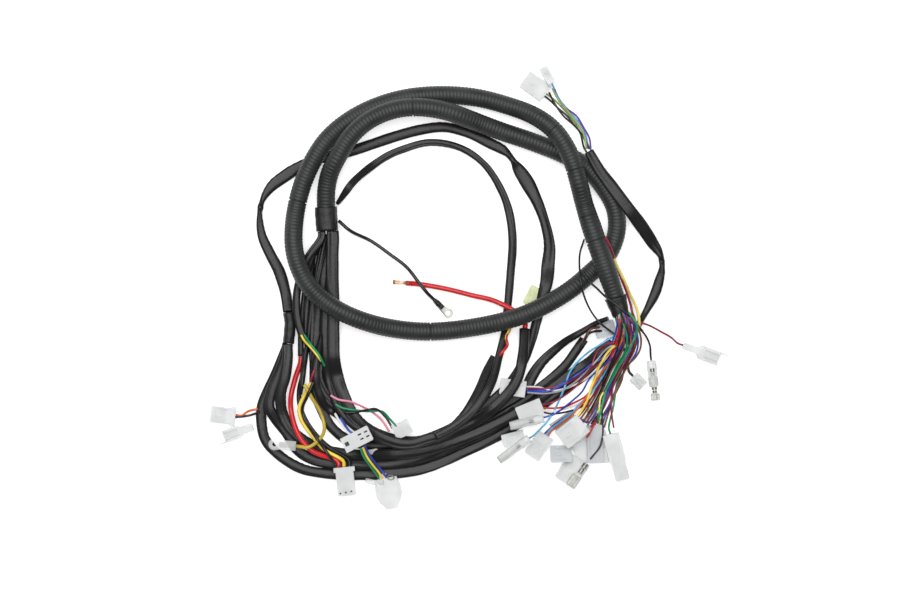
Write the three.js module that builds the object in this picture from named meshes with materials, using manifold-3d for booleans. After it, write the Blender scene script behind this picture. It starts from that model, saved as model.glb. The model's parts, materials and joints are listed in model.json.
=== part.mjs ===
// A vehicle wiring harness, lying loose as it is sold: one long corrugated conduit in two
// loops, flat black PVC sleeves that leave its taped ends, coloured wires, and the nylon
// housings and terminals that the wires end in.
//
// Millimetres, +Z up, the harness lies on Z = 0 and is centred on the origin. Every piece
// is laid in the order of this file, from the floor up: what is laid later lies on top.

import * as THREE from 'three';
import { mergeVertices } from 'three/addons/utils/BufferGeometryUtils.js';
import Module from 'manifold-3d';

const wasm = await Module();
wasm.setup();

// Fit
const TOUCH_GAP = 0.3;

// Corrugated conduit and the tape that closes its ends
const CONDUIT_DIAMETER = 15.5;
const CONDUIT_STEP = 20;
const TAPE_WIDTH = 18.5;
const TAPE_B_LENGTH = 20;
const TAPE_A_LENGTH = 16;
const TAPE_A_TAPER = 0.74;
const JOINT_TAPE_WIDTH = 9.5;
const JOINT_TAPE_HEIGHT = 13.5;

// Flat PVC sleeves: width, then thickness
const WIDE_SLEEVE = [9, 4.2];
const MID_SLEEVE = [7.6, 4.4];
const SLIM_SLEEVE = [6.6, 4.2];
const ROUND_SLEEVE = [5.2, 5.2];
const LEAD_SLEEVE = [4, 4];
const SLEEVE_STEP = 15;

// Wires
const WIRE_DIAMETER = 2;
const SUPPLY_WIRE_DIAMETER = 4.4;
const CHARGE_WIRE_DIAMETER = 3;
const EARTH_WIRE_DIAMETER = 3;
const WIRE_STEP = 7;

// How a cord climbs over what lies under it
const CONDUIT_SLOPE = 0.42;
const SLEEVE_SLOPE = 0.4;
const WIRE_SLOPE = 0.55;
const TILT_ALLOWANCE = 1.06;
const ROUNDNESS = 2.5;
const SAMPLE_STEP = 2;

// Sections: a cord under 4 mm has the fewest sides
const CONDUIT_SIDES = 12;
const SLEEVE_SIDES = 8;
const WIRE_SIDES = 8;

// Housings
const HOUSING_WALL = 1.2;
const CORNER_CUT = 0.8;
const CAVITY_BACK = 8;
const SHOULDER_LENGTH = 3.2;
const LEAD_IN = 5;

const radians = THREE.MathUtils.degToRad;
const harness = new THREE.Group();
const laid = [];

// Colours of the pieces, as they look
const COLOURS = {
  conduit: ['#35383a', 0.55],
  tape: ['#26282a', 0.6],
  sleeve: ['#1f2123', 0.42],
  black: ['#17181a', 0.4],
  red: ['#b3161f', 0.35],
  yellow: ['#e6c62c', 0.35],
  blue: ['#2f37a8', 0.35],
  skyBlue: ['#57a9dd', 0.35],
  green: ['#12804f', 0.35],
  orange: ['#e2552a', 0.35],
  nylon: ['#e9eaea', 0.45],
  greyNylon: ['#c3c7c9', 0.45],
  clear: ['#dfe3e0', 0.25],
  paleYellow: ['#dfe6b0', 0.4],
};
const METALS = { tin: ['#c9c8c2', 0.35] };

function finish(name) {
  const [colour, roughness] = COLOURS[name] ?? METALS[name];
  return new THREE.MeshStandardMaterial({ color: colour, roughness,
    metalness: name in METALS ? 1 : 0 });
}

function addPiece(name, geometry, colour) {
  const mesh = new THREE.Mesh(geometry, finish(colour));
  mesh.name = name;
  harness.add(mesh);
  return mesh;
}

// The point at a distance ahead of another, and to its left, on a heading in degrees
function ahead(point, heading, distance, left = 0) {
  const turn = radians(heading);
  return [
    point[0] + distance * Math.cos(turn) - left * Math.sin(turn),
    point[1] + distance * Math.sin(turn) + left * Math.cos(turn),
  ];
}

// Solids from closed meshes, and back
function solidOf(geometry) {
  const bare = geometry.index ? geometry.toNonIndexed() : geometry.clone();
  bare.deleteAttribute('normal');
  bare.deleteAttribute('uv');
  const merged = mergeVertices(bare, 1e-4);
  return new wasm.Manifold(new wasm.Mesh({
    numProp: 3,
    vertProperties: new Float32Array(merged.attributes.position.array),
    triVerts: new Uint32Array(merged.index.array),
  }));
}

function geometryOf(solid) {
  const mesh = solid.getMesh();
  const geometry = new THREE.BufferGeometry();
  geometry.setAttribute('position', new THREE.BufferAttribute(new Float32Array(mesh.vertProperties),
    3));
  geometry.setIndex(Array.from(mesh.triVerts));
  geometry.computeVertexNormals();
  return geometry;
}

function cut(geometry, tools) {
  return geometryOf(tools.reduce((solid, tool) => solid.subtract(solidOf(tool)), solidOf(geometry)));
}

function join(geometries) {
  return geometryOf(geometries.map(solidOf).reduce((whole, next) => whole.add(next)));
}

// A path through stations whose section keeps its first axis upright. Its end faces are
// upright too, and square to the given headings where there are any.
class StationPath extends THREE.Curve {
  constructor(stations, startHeading, endHeading) {
    super();
    this.stations = stations;
    this.startHeading = startHeading;
    this.endHeading = endHeading;
  }

  getPoint(share) {
    const place = share * (this.stations.length - 1);
    const index = Math.min(Math.floor(place), this.stations.length - 2);
    return this.stations[index].clone().lerp(this.stations[index + 1], place - index);
  }

  getPointAt(share) {
    return this.getPoint(share);
  }

  computeFrenetFrames(steps) {
    const frames = { tangents: [], normals: [], binormals: [] };
    for (let index = 0; index <= steps; index++) {
      const before = this.stations[Math.max(index - 1, 0)];
      const after = this.stations[Math.min(index + 1, steps)];
      const tangent = after.clone().sub(before).normalize();
      const heading = index === 0 ? this.startHeading : this.endHeading;
      if (index === 0 || index === steps) {
        tangent.setZ(0).normalize();
        if (heading !== undefined) tangent.set(Math.cos(radians(heading)), Math.sin(radians(heading)),
          0);
      }
      const side = new THREE.Vector3(0, 0, 1).cross(tangent).normalize();
      const up = tangent.clone().cross(side).normalize();
      frames.tangents.push(tangent);
      frames.normals.push(up);
      frames.binormals.push(tangent.clone().cross(up));
    }
    return frames;
  }
}

function ovalSection(width, thickness, sides) {
  const corners = [];
  for (let index = 0; index < sides; index++) {
    const turn = (index / sides) * 2 * Math.PI;
    corners.push(new THREE.Vector2(0.5 * thickness * Math.cos(turn), 0.5 * width * Math.sin(turn)));
  }
  return new THREE.Shape(corners);
}

function tubeGeometry(stations, width, thickness, sides, startHeading, endHeading) {
  return new THREE.ExtrudeGeometry(ovalSection(width, thickness, sides), {
    extrudePath: new StationPath(stations, startHeading, endHeading),
    steps: stations.length - 1,
  });
}

// Narrows a straight tube evenly from its start, so that its far end is scaled by share
function drawnIn(tube, start, heading, length, height, share) {
  const position = tube.attributes.position;
  const forwardX = Math.cos(radians(heading));
  const forwardY = Math.sin(radians(heading));
  for (let index = 0; index < position.count; index++) {
    const awayX = position.getX(index) - start[0];
    const awayY = position.getY(index) - start[1];
    const along = awayX * forwardX + awayY * forwardY;
    const across = awayY * forwardX - awayX * forwardY;
    const scale = 1 - ((1 - share) * along) / length;
    position.setXYZ(
      index,
      start[0] + along * forwardX - across * scale * forwardY,
      start[1] + along * forwardY + across * scale * forwardX,
      height + (position.getZ(index) - height) * scale,
    );
  }
  tube.computeVertexNormals();
}

// The height that a cord's middle needs at a point, to lie on one laid piece
function needOverCord(point, cord, halfWidth, halfHeight, from, to) {
  const reach = halfWidth + cord.halfWidth + TOUCH_GAP;
  const rise = (halfHeight + cord.halfHeight + TOUCH_GAP) * TILT_ALLOWANCE;
  let need = 0;
  for (let index = from; index < to; index++) {
    const start = cord.stations[index];
    const end = cord.stations[index + 1];
    const runX = end.x - start.x;
    const runY = end.y - start.y;
    const along = ((point.x - start.x) * runX + (point.y - start.y) * runY) / (runX * runX + runY * runY);
    const share = THREE.MathUtils.clamp(along, 0, 1);
    const distance = Math.hypot(point.x - start.x - share * runX, point.y - start.y - share * runY);
    if (distance < reach) {
      const clear = Math.sqrt(1 - (distance / reach) ** ROUNDNESS);
      need = Math.max(need, start.z + share * (end.z - start.z) + rise * clear);
    }
  }
  return need;
}

function needOverBlock(point, block, halfWidth, halfHeight) {
  const turn = radians(block.heading);
  const awayX = point.x - block.centre[0];
  const awayY = point.y - block.centre[1];
  const along = Math.abs(awayX * Math.cos(turn) + awayY * Math.sin(turn));
  const across = Math.abs(-awayX * Math.sin(turn) + awayY * Math.cos(turn));
  const clearance = halfWidth + TOUCH_GAP;
  const over = along < block.halfLength + clearance && across < block.halfWidth + clearance;
  return over ? block.top + halfHeight + TOUCH_GAP : 0;
}

// Lays a cord along points on the floor plan. Its height is worked out: it lies on the
// floor or on what was laid before, and rises and falls no steeper than its slope.
// Options: start and end heights, pieces that it runs into, and passes, which give the
// order in which stretches of one cord are laid over each other.
function layCord(points, [width, thickness], options = {}) {
  const { step = SLEEVE_STEP, slope = SLEEVE_SLOPE, into = [], startHeight, endHeight,
    passes } = options;
  const halfWidth = width / 2;
  const halfHeight = thickness / 2;
  const plan = new THREE.CatmullRomCurve3(points.map(([x, y]) => new THREE.Vector3(x, y, 0)), false,
    'centripetal');
  plan.arcLengthDivisions = 40 * points.length;
  const length = plan.getLength();
  const steps = Math.max(3, Math.round(length / step));
  const stations = plan.getSpacedPoints(steps);
  const spacing = length / steps;
  const need = stations.map(() => halfHeight);
  if (startHeight !== undefined) need[0] = startHeight;
  if (endHeight !== undefined) need[steps] = endHeight;
  const cord = { stations, halfWidth, halfHeight };
  const below = laid.filter((piece) => !into.includes(piece));
  const order = passes ?? [[0, 1]];
  const done = [];

  function raise(fromStation, toStation) {
    for (let index = fromStation; index < toStation; index++) {
      const samples = Math.max(2, Math.ceil(spacing / SAMPLE_STEP));
      for (let sample = 0; sample <= samples; sample++) {
        const point = stations[index].clone().lerp(stations[index + 1], sample / samples);
        let height = 0;
        for (const piece of below) {
          const over = piece.stations
            ? needOverCord(point, piece, halfWidth, halfHeight, 0, piece.stations.length - 1)
            : needOverBlock(point, piece, halfWidth, halfHeight);
          height = Math.max(height, over);
        }
        for (const [first, last] of done) {
          const near = Math.ceil((3 * width) / spacing);
          const ranges = [[first, Math.min(last, index - near)], [Math.max(first, index + near), last]];
          for (const [low, high] of ranges) {
            height = Math.max(height, needOverCord(point, cord, halfWidth, halfHeight, low, high));
          }
        }
        const fixedStart = startHeight !== undefined && index === 0;
        const fixedEnd = endHeight !== undefined && index === steps - 1;
        if (!fixedStart) need[index] = Math.max(need[index], height);
        if (!fixedEnd) need[index + 1] = Math.max(need[index + 1], height);
      }
    }
    for (let index = 0; index <= steps; index++) {
      let height = 0;
      for (let other = 0; other <= steps; other++) {
        height = Math.max(height, need[other] - slope * spacing * Math.abs(index - other));
      }
      stations[index].z = height;
    }
    if (startHeight !== undefined) stations[0].z = startHeight;
    if (endHeight !== undefined) stations[steps].z = endHeight;
  }

  for (const [first, last] of order) {
    const range = [Math.round(first * steps), Math.round(last * steps)];
    raise(...range);
    done.push(range);
  }
  return cord;
}

function addCord(name, points, size, colour, options = {}) {
  const cord = layCord(points, size, options);
  const { sides = SLEEVE_SIDES, startHeading, endHeading, tip, shape } = options;
  const tube = tubeGeometry(cord.stations, size[0], size[1], sides, startHeading, endHeading);
  if (shape) shape(tube);
  addPiece(name, tip ? join([tube, tip(cord)]) : tube, colour);
  laid.push(cord);
  return cord;
}

// The lowest height at which a block rests on what was laid before
function restingHeight(centre, heading, length, width) {
  let height = 0;
  const across = Math.ceil(width / SAMPLE_STEP);
  const along = Math.ceil(length / SAMPLE_STEP);
  for (let row = 0; row <= across; row++) {
    for (let column = 0; column <= along; column++) {
      const [x, y] = ahead(centre, heading, (column / along - 0.5) * length,
        (row / across - 0.5) * width);
      const point = new THREE.Vector3(x, y, 0);
      for (const piece of laid) {
        const over = piece.stations
          ? needOverCord(point, piece, 0, 0, 0, piece.stations.length - 1)
          : needOverBlock(point, piece, 0, 0);
        height = Math.max(height, over);
      }
    }
  }
  return height;
}

// Sets a housing or terminal down. Its own X is the way it mates, its back takes the wires.
function addBlock(name, centre, heading, geometry, colour) {
  geometry.computeBoundingBox();
  const { min, max } = geometry.boundingBox;
  const length = max.x - min.x;
  const width = max.y - min.y;
  geometry.translate(-(min.x + max.x) / 2, -(min.y + max.y) / 2, -min.z);
  const base = restingHeight(centre, heading, length, width);
  const mesh = addPiece(name, geometry, colour);
  mesh.position.set(centre[0], centre[1], base);
  mesh.rotation.z = radians(heading);
  const block = { centre, heading, halfLength: length / 2, halfWidth: width / 2, base,
    top: base + max.z - min.z };
  laid.push(block);
  return block;
}

// Where a wire meets the back of a block: the end point, the point that leads to it and its height
function port(block, left = 0, share = 0.5) {
  return {
    end: ahead(block.centre, block.heading, -block.halfLength - TOUCH_GAP, left),
    lead: ahead(block.centre, block.heading, -block.halfLength - LEAD_IN, left),
    height: block.base + share * (block.top - block.base),
    heading: block.heading + 180,
    block,
  };
}

// The open end of a sleeve or tape as a place for wires: its last point, or its first one
function mouth(cord, heading, { left = 0, rise = 0, first = false } = {}) {
  const station = cord.stations.at(first ? 0 : -1);
  const middle = [station.x, station.y];
  return {
    end: ahead(middle, heading, TOUCH_GAP, left),
    lead: ahead(middle, heading, LEAD_IN, left),
    height: station.z + rise,
    heading,
    block: cord,
  };
}

// A wire between two places, each of them a port, a mouth or nothing, for a loose end.
function addWire(name, from, points, to, diameter, colour, options = {}) {
  const route = [...points];
  const into = [...(options.into ?? [])];
  const ends = { ...options };
  if (from) {
    route.unshift(from.end, from.lead);
    into.push(from.block);
    ends.startHeight = from.height;
    ends.startHeading = from.heading;
  }
  if (to) {
    route.push(to.lead, to.end);
    into.push(to.block);
    ends.endHeight = to.height;
    ends.endHeading = to.heading + 180;
  }
  return addCord(name, route, [diameter, diameter], colour, {
    step: WIRE_STEP,
    slope: WIRE_SLOPE,
    sides: WIRE_SIDES,
    ...ends,
    into,
  });
}

// Housings
function boxAt(length, width, height, x, y, z) {
  return new THREE.BoxGeometry(length, width, height).translate(x, y, z);
}

// A closed outline in plan, given for its left half from back to front, as a plate
function mirroredPlate(halfOutline, height) {
  const left = halfOutline.map(([x, y]) => new THREE.Vector2(x, y));
  const right = halfOutline.map(([x, y]) => new THREE.Vector2(x, -y)).reverse();
  return new THREE.ExtrudeGeometry(new THREE.Shape([...left, ...right].reverse()), { depth: height,
    bevelEnabled: false });
}

// A block with a collar at its back and rows of cavities in its front
function multiHousing({ length, width, height, columns, rows, collar = 0, collarLength = 4 }) {
  const back = -length / 2;
  const front = length / 2;
  const half = width / 2;
  const body = mirroredPlate([
    [back, half + collar],
    [back + collarLength, half + collar],
    [back + collarLength, half],
    [front - CORNER_CUT, half],
    [front, half - CORNER_CUT],
  ], height);
  const columnPitch = (width - HOUSING_WALL) / columns;
  const rowPitch = (height - HOUSING_WALL) / rows;
  const depth = length - CAVITY_BACK;
  const cavities = [];
  for (let column = 0; column < columns; column++) {
    for (let row = 0; row < rows; row++) {
      cavities.push(boxAt(
        2 * depth,
        columnPitch - HOUSING_WALL,
        rowPitch - HOUSING_WALL,
        front,
        (column - (columns - 1) / 2) * columnPitch,
        height / 2 + (row - (rows - 1) / 2) * rowPitch,
      ));
    }
  }
  return cut(body, cavities);
}

// A single blade's housing: a narrow neck, a wider body and a latch tongue
function singleHousing({ length, width, height, neckLength, neckWidth, tongue = 6 }) {
  const back = -length / 2;
  const front = length / 2 - tongue;
  const half = width / 2;
  const shoulder = back + neckLength;
  const body = mirroredPlate([
    [back, neckWidth / 2],
    [shoulder, neckWidth / 2],
    [shoulder + SHOULDER_LENGTH, half],
    [front, half],
  ], height);
  const latch = boxAt(2 * tongue, HOUSING_WALL, height / 2, front, half - HOUSING_WALL / 2, height / 2);
  const cavity = boxAt(
    2 * (length - neckLength - tongue - SHOULDER_LENGTH),
    width - 3 * HOUSING_WALL,
    height - 2 * HOUSING_WALL,
    front,
    -HOUSING_WALL / 2,
    height / 2,
  );
  return cut(join([body, latch]), [cavity]);
}

// A soft clear sleeve over a blade terminal, open at both ends
function clearSleeve({ length, width, height, wall = 0.8 }) {
  const outer = new THREE.ExtrudeGeometry(ovalSection(height, width, WIRE_SIDES), { depth: length,
    bevelEnabled: false });
  const inner = new THREE.ExtrudeGeometry(
    ovalSection(height - 2 * wall, width - 2 * wall, WIRE_SIDES),
    { depth: 2 * length, bevelEnabled: false },
  ).translate(0, 0, -length / 2);
  return cut(outer, [inner])
    .translate(0, 0, -length / 2)
    .rotateZ(Math.PI / 2)
    .rotateY(Math.PI / 2)
    .translate(0, 0, height / 2);
}

// A receptacle for a blade: a rolled box in front of a crimped barrel
function bladeTerminal({ length, width, height, barrel = 3 }) {
  const boxLength = length - 2 * barrel;
  const plate = mirroredPlate([
    [-length / 2, barrel / 2],
    [length / 2 - boxLength - barrel / 2, barrel / 2],
    [length / 2 - boxLength, width / 2],
    [length / 2, width / 2],
  ], height);
  const slot = boxAt(2 * (boxLength - CORNER_CUT), width - 2 * CORNER_CUT, height - 2 * CORNER_CUT,
    length / 2, 0, height / 2);
  return cut(plate, [slot]);
}

// A ring tongue with its hole, and the shrink sleeve behind it
function ringTongue({ length, width, height, hole, barrelWidth }) {
  const centreX = length / 2 - width / 2;
  const outline = new THREE.Shape();
  outline.moveTo(-length / 2, -barrelWidth / 2);
  outline.lineTo(centreX - width / 2, -barrelWidth / 2);
  outline.lineTo(centreX, -width / 2);
  outline.absarc(centreX, 0, width / 2, -Math.PI / 2, Math.PI / 2, false);
  outline.lineTo(centreX - width / 2, barrelWidth / 2);
  outline.lineTo(-length / 2, barrelWidth / 2);
  outline.holes.push(new THREE.Path().absarc(centreX, 0, hole / 2, 0, 2 * Math.PI, true));
  return new THREE.ExtrudeGeometry(outline, { depth: height, bevelEnabled: false, curveSegments: 8 });
}

// End B of the conduit, where the tape holds the sleeves of the left side
const END_B = [-119.5, 69];
const END_B_HEADING = -87;
const TAPE_B_HEIGHT = CONDUIT_DIAMETER / 2;
const tapeBStart = ahead(END_B, END_B_HEADING, TOUCH_GAP);
const tapeBEnd = ahead(tapeBStart, END_B_HEADING, TAPE_B_LENGTH);
const tapeB = addCord('tape_wrap_b', [tapeBStart, ahead(tapeBStart, END_B_HEADING, TAPE_B_LENGTH / 2),
  tapeBEnd],
  [TAPE_WIDTH, CONDUIT_DIAMETER], 'tape', {
    sides: CONDUIT_SIDES,
    step: TAPE_B_LENGTH / 3,
    startHeight: TAPE_B_HEIGHT,
    endHeight: TAPE_B_HEIGHT,
    startHeading: END_B_HEADING,
    endHeading: END_B_HEADING,
  });

// Sleeves leave the tape in two columns of three, one above the other
const COLUMN_PITCH = 9.4;
const LAYER_PITCH = 5.1;

function fromTapeB(column, layer) {
  const left = column * COLUMN_PITCH / 2;
  return {
    points: [
      ahead(tapeBEnd, END_B_HEADING, TOUCH_GAP, left),
      ahead(tapeBEnd, END_B_HEADING, LEAD_IN, left),
    ],
    ends: { startHeight: TAPE_B_HEIGHT + layer * LAYER_PITCH, startHeading: END_B_HEADING,
      into: [tapeB] },
  };
}

// The tape joint that splits the outer loop's sleeve in two
const JOINT_HEADING = -100;
const JOINT_LAYER_PITCH = 4.7;
const jointTape = addCord('joint_tape', [[-151, -19.5], [-149.5, -27.5], [-150, -37], [-151, -45.5]],
  [JOINT_TAPE_WIDTH, JOINT_TAPE_HEIGHT], 'tape', { step: 8, endHeading: JOINT_HEADING });

function fromJoint(layer) {
  return { startHeight: MID_SLEEVE[1] / 2 + layer * JOINT_LAYER_PITCH, startHeading: JOINT_HEADING,
    into: [jointTape] };
}

// Housings that the sleeves pass over
addBlock('root_housing', [114.5, -33.5], 14,
  multiHousing({ length: 17, width: 13, height: 7.5, columns: 3, rows: 1 }), 'greyNylon');
addBlock('pale_yellow_housing', [53, -5.5], 63,
  multiHousing({ length: 17, width: 9, height: 5, columns: 2, rows: 1 }), 'paleYellow');

// Long sleeves of the lower bunch, those on the floor first
addCord('bunch_sleeve_outer', [
  [-151.5, -46], [-155.5, -57], [-161.5, -71.5], [-168, -85.5], [-173.5, -100], [-173.5, -113.5],
  [-170, -127], [-157.5, -140.5], [-139, -151], [-117, -155], [-94.5, -156], [-74.5, -155.5],
  [-56, -154], [-40.5, -151.5], [-23, -145.5], [-5, -137.5], [9.5, -131], [31.5, -119.5], [51.5, -105],
  [71, -90.5], [89.5, -78], [103.5, -67], [114.5, -56.5], [123.5, -46],
], MID_SLEEVE, 'sleeve', { ...fromJoint(0), endHeight: 6 });

const middleStem = fromTapeB(1, -1);
addCord('bunch_sleeve_middle', [
  ...middleStem.points, [-119, 22.5], [-124.5, -9], [-127.5, -38.5], [-129, -64.5], [-128, -86.5],
  [-123, -101.5], [-115.5, -115], [-103, -125.5], [-86, -130.5], [-64.5, -131], [-40.5, -132.5],
  [-15.5, -126.5], [8, -116.5], [26.5, -106], [39, -98.5], [49, -92.5], [59, -84], [70, -75],
  [81, -64.5], [89.5, -53], [97, -42],
], MID_SLEEVE, 'sleeve', middleStem.ends);

const innerStem = fromTapeB(1, 0);
addCord('bunch_sleeve_inner', [
  ...innerStem.points, [-114, 22.5], [-117, -9], [-120.5, -38.5], [-124.5, -56.5], [-126.5, -73],
  [-120.5, -88], [-109.5, -98.5], [-96, -108.5], [-79.5, -120], [-60, -126.5], [-39, -127.5],
  [-15.5, -121], [3, -112], [19, -102.5], [31.5, -95], [41.5, -89], [48.5, -82.5], [53.5, -73],
  [61.5, -61.5], [72.5, -51], [82, -43.5], [94.5, -36], [107, -28.5], [116.5, -24.5],
], MID_SLEEVE, 'sleeve', { ...innerStem.ends, endHeight: 15 });

addCord('outer_loop_sleeve', [
  [-151, -19], [-153.5, -3.5], [-159, 15], [-166.5, 29.5], [-173.5, 46], [-175, 65.5], [-172.5, 75.5],
  [-165, 86.5], [-154, 95], [-140.5, 103.5], [-123, 110], [-101, 115], [-82.5, 121], [-60, 128.5],
  [-39, 134], [-20.5, 136], [-3, 132], [18, 122.5], [31.5, 115], [41.5, 101.5], [51, 86.5],
  [58.5, 71.5], [64.5, 54.5], [68, 36], [67, 21], [65.5, 6.5], [61.5, -9], [57.5, -26], [52.5, -44.5],
  [45, -63], [32.5, -81.5], [18, -95], [1.5, -106.5], [-16.5, -117.5], [-36.5, -126], [-54, -129.5],
], WIDE_SLEEVE, 'sleeve', { startHeight: JOINT_TAPE_HEIGHT / 2, into: [jointTape] });

addCord('bunch_sleeve_lower', [
  [-151.5, -46], [-153.5, -57], [-159, -71.5], [-165, -85.5], [-167, -98.5], [-161.5, -109],
  [-152.5, -121], [-144, -134.5], [-131.5, -142.5], [-114.5, -146.5], [-94.5, -147.5], [-74.5, -147.5],
  [-57, -145.5], [-44, -143.5], [-27, -138], [-8.5, -129.5], [9.5, -122], [26.5, -112], [40, -102.5],
], MID_SLEEVE, 'sleeve', fromJoint(1));

addCord('bunch_sleeve_upper', [
  [-151.5, -46], [-151.5, -58], [-153.5, -73], [-157, -87.5], [-156.5, -101], [-150.5, -115],
  [-138, -127], [-120.5, -135], [-103.5, -138.5], [-84.5, -139.5], [-61, -138], [-37.5, -135],
  [-14, -128], [9.5, -119], [31.5, -108], [51.5, -97.5], [71, -83], [87, -71], [100.5, -61.5],
  [111, -52], [120, -44],
], MID_SLEEVE, 'sleeve', { ...fromJoint(2), endHeight: 10 });

const leftHousing = addBlock('two_way_housing', [-206, -106], 173,
  multiHousing({ length: 21, width: 14, height: 6.3, columns: 2, rows: 1, collar: 1.2,
    collarLength: 4 }), 'nylon');
const crossedHousing = addBlock('crossed_housing', [37, -82.5], 172,
  multiHousing({ length: 21.5, width: 13.5, height: 8, columns: 3, rows: 2 }), 'nylon');
addBlock('small_housing', [-55.5, -117], -65,
  multiHousing({ length: 13, width: 15, height: 8, columns: 3, rows: 1 }), 'nylon');

// Leads of the left side, and the housing that three of them end in
const threeWay = addBlock('three_way_housing', [-103, -161], -84,
  multiHousing({ length: 24, width: 15, height: 9, columns: 3, rows: 1, collar: 1.4,
    collarLength: 4 }), 'nylon');
const groundPort = port(threeWay, 4.6);
const groundStem = fromTapeB(-1, -1);
addCord('black_lead_sleeve', [
  ...groundStem.points, [-127.5, 16], [-132.5, -22], [-135.5, -47], [-138.5, -69.5], [-142, -85],
  [-141.5, -97.5], [-136.5, -110], [-128, -122], [-117, -132.5], groundPort.lead, groundPort.end,
], LEAD_SLEEVE, 'sleeve', {
  ...groundStem.ends,
  into: [tapeB, threeWay],
  endHeight: groundPort.height,
  endHeading: groundPort.heading + 180,
});

const supplyStem = fromTapeB(-1, 0);
const supplySleeve = addCord('supply_sleeve', [
  ...supplyStem.points, [-132.5, 22.5], [-138, -9], [-140.5, -34.5], [-140.5, -56.5],
], ROUND_SLEEVE, 'sleeve', supplyStem.ends);

const shortStem = fromTapeB(-1, 1);
addCord('short_sleeve', [
  ...shortStem.points, [-136.5, 22.5], [-143, 1], [-144, -16], [-142, -29.5], [-138.5, -40.5],
], SLIM_SLEEVE, 'sleeve', shortStem.ends);

const BRANCH_HEADING = -96;
const supplyBranch = addCord('supply_branch_sleeve', [
  [47, -33.5], [46, -49.5], [43.5, -65.5], [38.5, -79], [30.5, -90], [19.5, -100.5], [8, -109],
  [-5.5, -116.5], [-23, -124], [-38, -128], [-52.5, -130],
], MID_SLEEVE, 'sleeve', { startHeading: BRANCH_HEADING });

const rightStem = fromTapeB(1, 1);
addCord('right_side_sleeve', [
  ...rightStem.points, [-114, 22.5], [-114, -1], [-114, -27.5], [-113.5, -58], [-110.5, -75],
  [-105, -90.5], [-98, -104], [-88, -115], [-71.5, -124.5], [-57.5, -129], [-46, -129], [-34, -125],
  [-23, -122], [-14.5, -117], [-2, -103.5], [9, -85], [15.5, -70.5], [22.5, -57.5],
], WIDE_SLEEVE, 'sleeve', rightStem.ends);

addCord('inner_loop_sleeve', [
  [-109.5, 72], [-103.5, 80], [-96, 90], [-82.5, 102], [-68.5, 111.5], [-56, 117], [-32.5, 123],
  [-7, 118.5], [13, 105], [27.5, 83], [34, 64.5], [37, 41], [35.5, 15], [33, -13.5], [30.5, -35.5],
  [25.5, -56.5], [20.5, -75], [13, -90], [2, -103.5], [-12, -115], [-27.5, -123.5],
], SLIM_SLEEVE, 'sleeve', { startHeight: 5 });

// The supply lead with its stripped copper, under the conduit
const STRIPPED_LENGTH = 11.5;
const STRIPPED_DIAMETER = 3.4;
const branchMouth = mouth(supplyBranch, BRANCH_HEADING + 180, { first: true });
addCord('supply_lead', [
  [-52, 5], [-40.5, 4], [-18, 0], [4, -5.5], [19, -9], [31.5, -14.5], [40.5, -20], branchMouth.lead,
  branchMouth.end,
], [SUPPLY_WIRE_DIAMETER, SUPPLY_WIRE_DIAMETER], 'red', {
  step: 11,
  slope: 0.25,
  startHeight: 6,
  endHeight: branchMouth.height,
  endHeading: branchMouth.heading + 180,
  into: [supplyBranch],
  tip: ({ stations }) => new THREE.CylinderGeometry(
    STRIPPED_DIAMETER / 2, STRIPPED_DIAMETER / 2, STRIPPED_LENGTH, WIRE_SIDES,
  ).rotateZ(Math.PI / 2).translate(stations[0].x - STRIPPED_LENGTH / 2 + TOUCH_GAP, stations[0].y,
    stations[0].z),
});

// The conduit: its first stretch rides on the second, and the last crosses both
const END_A = [122.5, -6.5];
const END_A_HEADING = -73;
const conduit = addCord('main_conduit', [
  END_B, [-119, 83], [-116, 96.5], [-109, 110.5], [-100.5, 124.5], [-89.5, 136], [-75, 145],
  [-57.5, 150.5], [-40, 151.5], [-19.5, 148.5], [1.5, 141.5], [26.5, 132.5], [51.5, 124], [77, 114],
  [97, 103.5], [112, 87], [122.5, 68], [124, 48], [116.5, 28.5], [100.5, 12], [78.5, -5], [45, -22],
  [1.5, -32.5], [-40.5, -35.5], [-81, -29], [-114, -14.5], [-134, 4], [-144.5, 28.5], [-145.5, 56.5],
  [-140, 84], [-130.5, 106.5], [-117, 126.5], [-98.5, 142], [-77, 153], [-52.5, 160], [-24, 162.5],
  [5.5, 160.5], [33, 153.5], [55, 144.5], [70.5, 133], [80, 120], [87, 105], [92, 88], [97, 69.5],
  [104.5, 45.5], [113, 21], END_A,
], [CONDUIT_DIAMETER, CONDUIT_DIAMETER], 'conduit', {
  sides: CONDUIT_SIDES,
  step: CONDUIT_STEP,
  slope: CONDUIT_SLOPE,
  startHeight: TAPE_B_HEIGHT,
  startHeading: END_B_HEADING + 180,
  endHeading: END_A_HEADING,
  passes: [[0.32, 0.81], [0, 0.32], [0.81, 1]],
  into: [tapeB],
});

// The tape of end A
const tapeAStart = ahead(END_A, END_A_HEADING, TOUCH_GAP);
const tapeAEnd = ahead(tapeAStart, END_A_HEADING, TAPE_A_LENGTH);
const ROOT_HEIGHT = conduit.stations.at(-1).z;
const tapeA = addCord('tape_wrap_a', [tapeAStart, ahead(tapeAStart, END_A_HEADING, TAPE_A_LENGTH / 2),
  tapeAEnd],
  [TAPE_WIDTH, CONDUIT_DIAMETER], 'tape', {
    sides: CONDUIT_SIDES,
    step: TAPE_A_LENGTH / 3,
    startHeight: ROOT_HEIGHT,
    endHeight: ROOT_HEIGHT,
    startHeading: END_A_HEADING,
    endHeading: END_A_HEADING,
    into: [conduit],
    shape: (tube) => drawnIn(tube, tapeAStart, END_A_HEADING, TAPE_A_LENGTH, ROOT_HEIGHT, TAPE_A_TAPER),
  });

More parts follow.
